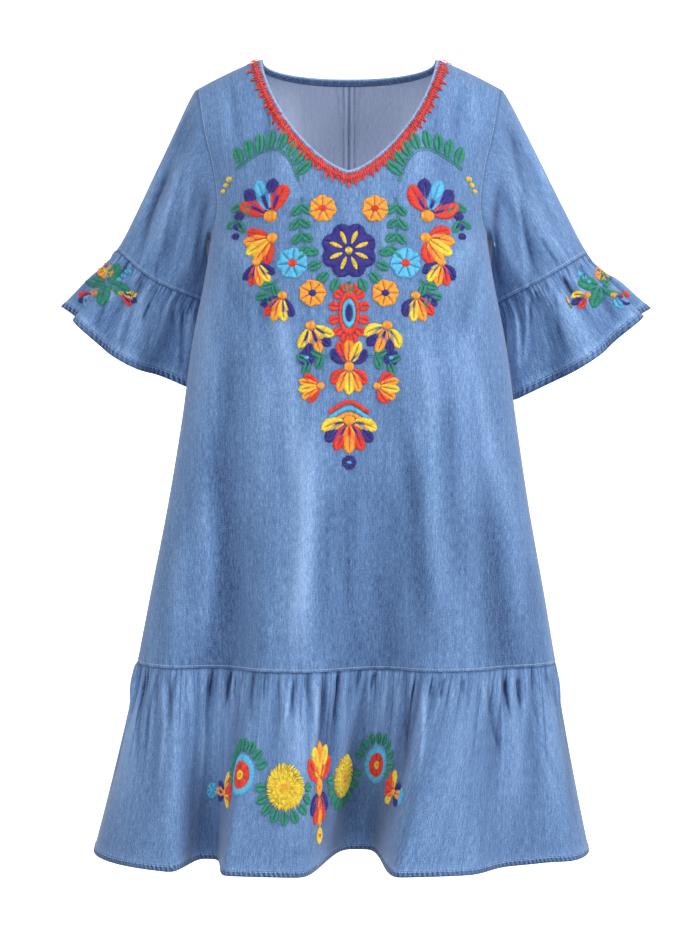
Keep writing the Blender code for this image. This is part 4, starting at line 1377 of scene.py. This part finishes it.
class Seen:
    """Finds where a place of the photo's frame lies on a piece of cloth."""

    def __init__(self, surfaces):
        verts, faces, base = [], [], 0
        for s in surfaces:
            p = np.concatenate([s.points, s.points[:, :1]], axis=1) if s.closed else s.points
            rows, columns = p.shape[:2]
            ids = base + np.arange(rows * columns).reshape(rows, columns)
            base += rows * columns
            verts += p.reshape(-1, 3).tolist()
            quads = np.stack([ids[:-1, :-1], ids[1:, :-1], ids[1:, 1:], ids[:-1, 1:]], axis=-1)
            faces += quads.reshape(-1, 4).tolist()
        self.columns = columns
        self.tree = BVHTree.FromPolygons(verts, faces)

    def from_camera(self, place):
        """The start and way of the camera's ray through a place, and a point near the front in its stead."""
        across, up = float(place[0]) - FRAME_X, FRAME_Y - float(place[1])
        way = Vector((across * PIXEL, CAMERA_DISTANCE, up * PIXEL)).normalized()
        return CAMERA, way, Vector((across * FRONT_PIXEL, NEAR_FRONT_Y, CAMERA.z + up * FRONT_PIXEL))

    def from_drawing(self, place):
        """The same for a place of a flat drawing that stands in front of the dress."""
        start = Vector((place[0] * STEP, -1.0, -V_TIP_DROP - place[1] * STEP))
        return start, Vector((0, 1, 0)), start + Vector((0, 0.9, 0))

    def cast(self, flat, ray):
        points, normals = [], []
        for place in flat:
            start, way, instead = ray(place)
            point, normal, _, _ = self.tree.ray_cast(start, way)
            if point is None:
                point, normal, _, _ = self.tree.find_nearest(instead)
            normal = -normal if normal.y > 0 else normal
            points.append(point + normal * CLOTH / 2)
            normals.append(normal)
        return np.array(points), np.array(normals)

    def on_front(self, flat):
        """Points and normals of the cloth where the frame's places fall on it."""
        return self.cast(flat, self.from_camera)

    def straight(self, flat):
        """Points and normals of the front where a drawing in steps from the V's tip falls on it."""
        return self.cast(flat, self.from_drawing)


THREAD_MATERIALS = {name: thread_material(f"thread_{name}", tint) for name, tint in THREADS.items()}


# The embroidery is a free design of ordinary flowers and leaves, laid out in steps from the tip of the V
STEP = 0.00114
V_TIP_DROP = float(neck_turn_drop(-1, 10, 0)[1])
Motif = namedtuple("Motif", "kind across down size turn tints")
WARM = ("red", "orange", "yellow", "orange", "red")
MIXED = ("navy", "red", "orange", "yellow", "navy")
BRIGHT = ("red", "navy", "sky", "navy", "red")
# Motifs of the left half, which are mirrored on the right. turn is in degrees, 0 outwards and 90 down
YOKE_PAIRS = (
    Motif("frond", 50, 2, 66, -14, ("green",)),
    Motif("sprig", 46, 18, 56, 96, ("green",)),
    Motif("sprig", 100, 14, 34, 70, ("green",)),
    Motif("bloom", 78, 36, 38, -70, BRIGHT),
    Motif("bloom", 76, 58, 30, 30, WARM),
    Motif("bloom", 92, 82, 24, 100, MIXED),
    Motif("berries", 112, 44, 5, 80, ("navy",)),
    Motif("berries", 124, 0, 3, 60, ("yellow",)),
    Motif("rosette", 26, 30, 13, 10, ("orange", "red")),
    Motif("rosette", 56, 84, 15, 20, ("sky", "red")),
    Motif("sprig", 70, 100, 22, 60, ("green",)),
    Motif("rosette", 36, 114, 13, 0, ("orange", "navy")),
    Motif("bloom", 66, 116, 26, 70, MIXED),
    Motif("bloom", 38, 146, 28, -250, ("yellow", "navy", "orange", "navy", "yellow")),
    Motif("sprig", 18, 176, 28, 20, ("green",)),
    Motif("rosette", 42, 178, 8, 0, ("navy", "sky")),
    Motif("bloom", 28, 206, 22, 10, WARM),
)
YOKE_MIDDLE = (
    Motif("wreath", 0, 72, 30, 90, ("green",)),
    Motif("great", 0, 72, 27, 0, ("navy", "yellow")),
    Motif("oval", 0, 134, 14, 0, ("red", "sky", "navy")),
    Motif("bloom", 0, 186, 26, -90, MIXED),
    Motif("bloom", 0, 188, 26, 90, WARM),
    Motif("tier", 0, 222, 20, 0, ("red", "sky", "orange")),
    Motif("bloom", 0, 240, 32, 90, ("yellow", "navy", "red", "orange", "red", "navy", "yellow")),
    Motif("rosette", 0, 282, 7, 0, ("navy", "sky")),
)
# The hem's border, evenly both ways from its middle figure, in steps along the cloth
HEM_PAIRS = (
    Motif("wreath", 58, -4, 23, 90, ("green",)),
    Motif("pompon", 58, -4, 22, 0, ("yellow", "orange")),
    Motif("wreath", 116, -14, 22, -70, ("green",)),
    Motif("daisy", 116, -14, 20, 0, ("sky",)),
    Motif("bloom", 164, 10, 26, 200, ("yellow", "red", "red", "red", "yellow")),
    Motif("bloom", 164, 10, 24, 0, ("navy", "orange", "navy")),
    Motif("rosette", 194, 10, 8, 0, ("sky", "sky")),
)
HEM_MIDDLE = (
    Motif("bloom", 0, -4, 40, -90, ("red", "yellow", "orange", "yellow", "red")),
    Motif("bloom", 0, 4, 34, 90, ("navy", "red", "orange", "red", "navy")),
    Motif("rosette", 0, 0, 9, 0, ("orange", "red")),
    Motif("rosette", 0, 48, 8, 0, ("yellow", "red")),
)
BUNCH = (
    Motif("cross", 0, 0, 22, 0, ("green",)),
    Motif("bloom", 13, 9, 18, 30, ("red", "navy", "sky")),
    Motif("bloom", -13, 9, 18, 150, ("red", "navy", "yellow")),
    Motif("rosette", 2, -13, 8, 0, ("orange", "yellow")),
    Motif("berries", -16, -8, 3, 40, ("sky",)),
)
# Where the middles of the hem's border and of the sleeves' bunches lie in the photo's frame
HEM_MIDDLE_AT = (318, 790)
BUNCH_AT = {-1: (108, 284), 1: (600, 286)}


class Ornament:
    """Draws each motif round its own centre, by the method its kind names. way is -1 for a mirrored one."""

    def __init__(self, work, origin=(0, 0)):
        self.work, self.origin = work, np.array(origin, float)

    def spoke(self, degrees, way=1):
        a = math.radians(degrees)
        return np.array((way * math.cos(a), math.sin(a)))

    def draw(self, motifs, ways=(1,)):
        for m in motifs:
            for way in ways:
                centre = self.origin + (way * m.across, m.down)
                getattr(self, m.kind)(centre, m.size, m.turn, m.tints, way)

    def bloom(self, centre, size, turn, tints, way):
        """A fan of petals, a colour for each, the middle ones longest, from a small round base."""
        spread = 24 * (len(tints) - 1)
        for k, tint in enumerate(tints):
            share = k / (len(tints) - 1) - 0.5
            spoke = self.spoke(turn + spread * share, way)
            long = size * (1 - 0.5 * share**2)
            self.work.leaf(tint, centre + spoke * size * 0.16, centre + spoke * long, size * 0.36, 3 * share)
        self.work.disc("orange", centre, size * 0.17)

    def rosette(self, centre, size, turn, tints, way):
        self.work.flower(tints[0], centre, size * 0.25, size, 7, size * 0.8, turn=math.radians(turn))
        self.work.disc(tints[1], centre, size * 0.3)

    def great(self, centre, size, turn, tints, way):
        """The large flower of the middle, with a vein on each petal."""
        self.work.flower(tints[0], centre, size * 0.15, size, 8, size * 0.66, turn=math.radians(22.5))
        self.work.flower(tints[0], centre, size * 0.15, size * 0.7, 8, size * 0.4, turn=0.0)
        for k in range(8):
            spoke = self.spoke(22.5 + 45 * k)
            edges = petal_edges(centre + spoke * size * 0.25, centre + spoke * size * 0.76, size * 0.22)
            self.work.satin(tints[1], *edges, 1.25, rise=0.0026)
        self.work.disc(tints[1], centre, size * 0.13)

    def oval(self, centre, size, turn, tints, way):
        """A tall medallion: three pointed ovals, one in another, with lobes round them."""
        a = np.radians(np.linspace(0, 360, 61))[:, None]
        ring = np.concatenate([np.sin(a) * 0.8, -np.cos(a) * 1.7], axis=1) * size
        for tint, inner, outer in ((tints[0], 0.62, 0.95), (tints[1], 0.36, 0.62)):
            self.work.satin(tint, centre + ring * inner, centre + ring * outer, 1.25, rise=0.0016)
        tall = np.array((0, size * 0.6))
        self.work.satin(tints[2], *petal_edges(centre - tall, centre + tall, size * 0.45), 1.25)
        for k in range(12):
            b = math.radians(15 + 30 * k)
            edge = np.array((math.sin(b) * 0.8, -math.cos(b) * 1.7)) * size
            out = np.array((math.sin(b), -math.cos(b) * 0.8)) * size
            self.work.leaf(tints[0], centre + edge * 0.92, centre + edge * 0.92 + out * 0.7, size * 0.6)

    def tier(self, centre, size, turn, tints, way):
        for k, tint in enumerate(tints):
            low = centre + (0, 6.0 * k)
            self.work.chevron(tint, low, low + (-size, size * 0.5), low + (size, size * 0.5), 5.0)

    def berries(self, centre, size, turn, tints, way):
        for k in range(3):
            place = centre + self.spoke(turn, way) * size * 2.1 * (k - 1)
            self.work.disc(tints[0], place, size * (1 - 0.12 * k))

    def sprig(self, centre, size, turn, tints, way):
        """A slightly bent stem with pairs of leaves."""
        axis, side = self.spoke(turn, way), self.spoke(turn - 90, way)
        t = np.linspace(0, 1, 9)[:, None]
        line = centre + axis * size * t + side * size * 0.10 * np.sin(np.pi * t)
        self.work.stem(tints[0], line)
        count = max(int(size / 12), 2)
        for k in range(count):
            at = read(line, np.array([(k + 0.6) / count]))[0]
            for lean in (-48, 48):
                self.work.leaf(tints[0], at, at + self.spoke(turn + lean, way) * 13, 7.0)

    def frond(self, centre, size, turn, tints, way):
        """An arched stem whose leaves stand on its upper side only."""
        axis, side = self.spoke(turn, way), self.spoke(turn - 90, way)
        t = np.linspace(0, 1, 13)[:, None]
        line = centre + axis * size * t + side * size * 0.42 * np.sin(np.pi * t**0.9)
        self.work.stem(tints[0], line)
        for k in range(8):
            share = (k + 0.7) / 8.4
            at = read(line, np.array([share]))[0]
            self.work.leaf(tints[0], at, at + self.spoke(turn - 130 + 80 * share, way) * 19, 8.5)

    def wreath(self, centre, size, turn, tints, way):
        """Leaves round part of a circle."""
        for k in range(9):
            spoke = self.spoke(turn - 88 + 22 * k, way)
            self.work.leaf(tints[0], centre + spoke * size, centre + spoke * (size + 13), 8.0)

    def cross(self, centre, size, turn, tints, way):
        for degrees in (-60, 20, 110, 190):
            spoke = self.spoke(degrees)
            self.work.leaf(tints[0], centre + spoke * 2, centre + spoke * size, size * 0.5)

    def pompon(self, centre, size, turn, tints, way):
        self.work.pompon(tints[0], tints[1], centre, size)

    def daisy(self, centre, size, turn, tints, way):
        """A round flower of sky, red, yellow and orange rings."""
        self.work.ring(tints[0], centre, size * 0.6, size, 1.15, ragged=0.9)
        self.work.flower("red", centre, size * 0.2, size * 0.68, 6, size * 0.6, turn=0.4)
        self.work.ring("yellow", centre, size * 0.1, size * 0.25)
        self.work.disc("orange", centre, size * 0.1)


def sew_yoke():
    work = Sewing("yoke_embroidery", Seen(grids["front_panel"]).straight, STEP)
    ornament = Ornament(work)
    ornament.draw(YOKE_PAIRS, (-1, 1))
    ornament.draw(YOKE_MIDDLE)
    work.build()


def petal_edges(base, tip, width):
    """The two edges of a pointed oval, for stitches straight across it."""
    base, tip = np.array(base, float), np.array(tip, float)
    t = np.linspace(0.02, 0.98, 25)[:, None]
    run = tip - base
    side = np.array((-run[1], run[0])) / np.linalg.norm(run)
    half = width / 2 * np.sin(np.pi * t) ** 0.6
    return base + run * t + side * half, base + run * t - side * half


def sew_neck():
    """The red trim that runs down both sides of the V, with pairs of spikes between its clusters."""
    seen = Seen(front_surfaces() + [binding_surface()])
    work = Sewing("neck_trim", lambda flat: lifted(seen.on_front(flat), 0.0004), FRONT_PIXEL)
    columns = np.linspace(0.35, 10, 160)
    lines = []
    for band in (0.68, -0.56):
        turn, drop = neck_turn_drop(-1, columns, band)
        left = torso(-1, -turn, drop)
        right = torso(-1, turn[::-1], drop[::-1])
        lines.append(seen_at(np.concatenate([left, right[1:]])))
    inner, outer = lines
    long = run_of(outer)
    count = int(long / 1.3)
    t = (np.arange(count) + 0.5) / count
    a, b = read(inner, t), read(outer, t)
    for k in range(count):
        turned = min(k + 2, count - 1) if k % 2 else max(k - 2, 0)
        p, q = a[k], b[turned]
        low, high = work.dice.uniform(-0.06, 0.14, 2)
        work.stitch("red", p + (q - p) * low, q - (q - p) * high, 0.0016, 1.5, -0.2 if k % 3 == 0 else 0.08)
        if k % 3 == 1:
            middle, step = p * 0.5 + q * 0.5, (b[min(k + 3, count - 1)] - b[k]) * 0.6
            work.stitch("red", middle - step, middle + step, 0.0026, 1.5, 0.1)
    spikes = int(long / 8.5)
    for k in range(spikes + 1):
        at = (k + work.dice.uniform(0.1, 0.5)) / (spikes + 0.6)
        p, q = read(inner, np.array([at]))[0], read(outer, np.array([at]))[0]
        way = (q - p) / max(np.linalg.norm(q - p), 1e-6)
        beside = np.array((-way[1], way[0]))
        more = work.dice.uniform(2.2, 5.0)
        tilt = beside * work.dice.uniform(-1.4, 1.4)
        work.stitch("red", q - way * 2.5 - beside, q + way * more + tilt, 0.0012, 1.5)
        work.stitch("red", q - way * 2.5 + beside, q + way * more * 0.9 + tilt, 0.0014, 1.5)
        if k % 2:
            work.stitch("red", p + way * 1.5, p - way * 0.9, 0.0011, 1.2)
    work.build()


def lifted(found, height):
    points, normals = found
    return points + normals * height, normals


class Laid:
    """Places on a piece in its own cloth coordinates, round the spot where one place of the frame falls."""

    def __init__(self, surface, place, unit_size):
        self.surface, self.unit_size = surface, unit_size
        seen = Seen([surface])
        start, way, _ = seen.from_camera(place)
        _, _, face, _ = seen.tree.ray_cast(start, way)
        row, column = face // (seen.columns - 1), face % (seen.columns - 1)
        self.start = surface.across[row, column], surface.down[row, column]
        out = surface.normals()
        self.out = out * np.sign((out * surface.points * np.array((1, 1, 0))).sum())

    def __call__(self, flat):
        s = self.surface
        across = self.start[0] + flat[:, 0] * self.unit_size
        down = self.start[1] + flat[:, 1] * self.unit_size
        column = np.interp(across, s.across[0], np.arange(s.across.shape[1]))
        row = np.interp(down, s.down[:, 0], np.arange(s.down.shape[0]))
        i = np.clip(np.floor(row).astype(int), 0, s.down.shape[0] - 2)
        j = np.clip(np.floor(column).astype(int), 0, s.across.shape[1] - 2)
        u, v = (row - i)[:, None], (column - j)[:, None]
        found = []
        for grid in (s.points, self.out):
            top = grid[i, j] * (1 - v) + grid[i, j + 1] * v
            low = grid[i + 1, j] * (1 - v) + grid[i + 1, j + 1] * v
            found.append(top * (1 - u) + low * u)
        normals = unit(found[1])
        return found[0] + normals * CLOTH / 2, normals


def sew_hem():
    """The border of the hem, laid out evenly both ways from a middle figure."""
    surface = grids["hem_ruffle_front"][0]
    work = Sewing("hem_embroidery", Laid(surface, HEM_MIDDLE_AT, STEP), STEP)
    ornament = Ornament(work)
    ornament.draw(HEM_PAIRS, (-1, 1))
    ornament.draw(HEM_MIDDLE)
    work.build()


def sew_cuffs():
    for way, node in ((1, "sleeve_ruffle_left"), (-1, "sleeve_ruffle_right")):
        work = Sewing(f"{node}_embroidery", Seen(grids[node]).on_front, FRONT_PIXEL)
        Ornament(work, BUNCH_AT[way]).draw(BUNCH, (way,))
        work.build()


class Seams:
    """Lines of cloth for runs of stitches. A place is 100 times its line's number, plus metres along it."""

    def __init__(self):
        self.lines = []

    def add(self, surfaces, points, middle=None, inside=False):
        gone = gone_along(points)
        self.lines.append((Seen(surfaces).tree, points, gone, middle, -1 if inside else 1))
        return 100.0 * (len(self.lines) - 1), gone[-1]

    def __call__(self, flat):
        points, normals = [], []
        for number, _ in flat:
            tree, line, gone, middle, way = self.lines[int(number // 100)]
            here = [np.interp(number % 100, gone, line[:, k]) for k in range(3)]
            point, normal, _, _ = tree.find_nearest(Vector(here))
            away = Vector((point.x, point.y, 0)) if middle is None else point - Vector(middle)
            if normal.dot(away) * way < 0:
                normal = -normal
            points.append(point + normal * CLOTH / 2)
            normals.append(normal)
        return np.array(points), np.array(normals)


def topstitch():
    """Pale machine stitches along the turned hems, above the seams, by the armholes and the neck."""
    seams = Seams()
    work = Sewing("topstitching", seams, 1.0)

    def run(surfaces, points, long=0.0026, gap=0.0009, **which):
        start, total = seams.add(surfaces, points, **which)
        for k in range(int(total / (long + gap))):
            at = start + k * (long + gap) + 0.0004
            work.stitch("pale", (at, 0), (at + long, 0), 0.0003, 0.68)

    for word in ("front", "back"):
        surfaces = grids[f"hem_ruffle_{word}"]
        run(surfaces, surfaces[0].points[-4])
    left, right = grids["front_panel"]
    run((left, right), np.concatenate([left.points[-3], right.points[-3][1:]]))
    run((left,), left.points[:57, 1])
    run((right,), right.points[:57, -2])
    for word, edge, centre in (("left", 1, -6), ("right", -2, 5)):
        surfaces = grids[f"back_panel_{word}"]
        run(surfaces, surfaces[0].points[-3])
        run(surfaces, surfaces[0].points[:57, edge])
        run(surfaces, surfaces[0].points[:, centre])
        run(surfaces, surfaces[0].points[:60, centre], inside=True)
    for word in ("left", "right"):
        surfaces = grids[f"sleeve_ruffle_{word}"]
        run(surfaces, loop(surfaces[0].points[-4]), middle=surfaces[0].points[-4].mean(axis=0))
        surfaces = grids[f"sleeve_{word}"]
        run(surfaces, loop(surfaces[0].points[-2]), middle=surfaces[0].points[-2].mean(axis=0))
    surfaces = grids["neck_binding"]
    run(surfaces, loop(surfaces[0].points[-2]), 0.0020, 0.0010)
    work.build()


sew_yoke()
sew_neck()
sew_hem()
sew_cuffs()
topstitch()


# Stage, light and camera

FLOOR_Z = -1.42
BEND_RADIUS = 0.9
BEND_Y = 5.6


def stage():
    """A pale floor that curves up into a backdrop, which glows a little as a lit studio wall does."""
    bend = []
    for a in np.radians(np.arange(0, 91, 5)):
        bend.append((BEND_Y + BEND_RADIUS * math.sin(a), FLOOR_Z + BEND_RADIUS * (1 - math.cos(a))))
    for name, profile, shade, glow in (
        ("studio_floor", [(-6.0, FLOOR_Z), (0.9, FLOOR_Z)], 0.80, 0.0),
        ("studio_sweep", [(0.9, FLOOR_Z)] + bend + [(6.5, 5.0)], 0.93, 0.75),
    ):
        verts = [(x, y, z) for y, z in profile for x in (-7.0, 7.0)]
        faces = [(2 * k, 2 * k + 1, 2 * k + 3, 2 * k + 2) for k in range(len(profile) - 1)]
        data = bpy.data.meshes.new(name)
        data.from_pydata(verts, [], faces)
        data.shade_smooth()
        sweep = add_object(name, data)
        n = Nodes(f"{name}_paper")
        n.shader.inputs["Base Color"].default_value = (shade, shade, shade, 1)
        n.shader.inputs["Emission Color"].default_value = (1, 1, 1, 1)
        n.shader.inputs["Emission Strength"].default_value = glow
        n.shader.inputs["Roughness"].default_value = 0.9
        n.shader.inputs["Specular IOR Level"].default_value = 0.1
        data.materials.append(n.material)


def lamp(name, place, target, size, power):
    data = bpy.data.lights.new(name, "AREA")
    data.shape = "RECTANGLE"
    data.size, data.size_y = size
    data.energy = power
    light = add_object(name, data)
    light.location = place
    light.rotation_euler = (Vector(target) - Vector(place)).to_track_quat("-Z", "Y").to_euler()


stage()
lamp("key_light", (2.3, -1.5, 0.6), (0, -0.1, -0.5), (0.8, 1.5), 70)
lamp("fill_light", (-2.2, -1.9, 0.3), (0, -0.1, -0.5), (1.0, 1.6), 33)
lamp("front_light", (0.0, -3.2, 0.6), (0, 0, -0.5), (1.2, 1.2), 28)
lamp("top_light", (0.0, -0.8, 1.7), (0, 0.08, -0.1), (0.9, 0.7), 16)
lamp("rear_light", (0.0, 1.9, 0.6), (0, 0.1, -0.5), (2.4, 1.6), 24)
world = bpy.data.worlds.new("studio_air")
bpy.context.scene.world = world
world.use_nodes = True
world.node_tree.nodes["Background"].inputs["Color"].default_value = (1, 1, 1, 1)
world.node_tree.nodes["Background"].inputs["Strength"].default_value = 0.14
bpy.context.scene.view_settings.view_transform = "Standard"
bpy.context.scene.view_settings.look = "None"

data = bpy.data.cameras.new("photo_camera")
data.sensor_fit = "HORIZONTAL"
data.sensor_width = SENSOR_WIDTH
data.lens = SENSOR_WIDTH * CAMERA_DISTANCE / FRAME_WIDTH
data.clip_end = 30
camera = add_object("photo_camera", data)
camera.location = CAMERA
camera.rotation_euler = (math.radians(90), 0, 0)
bpy.context.scene.camera = camera
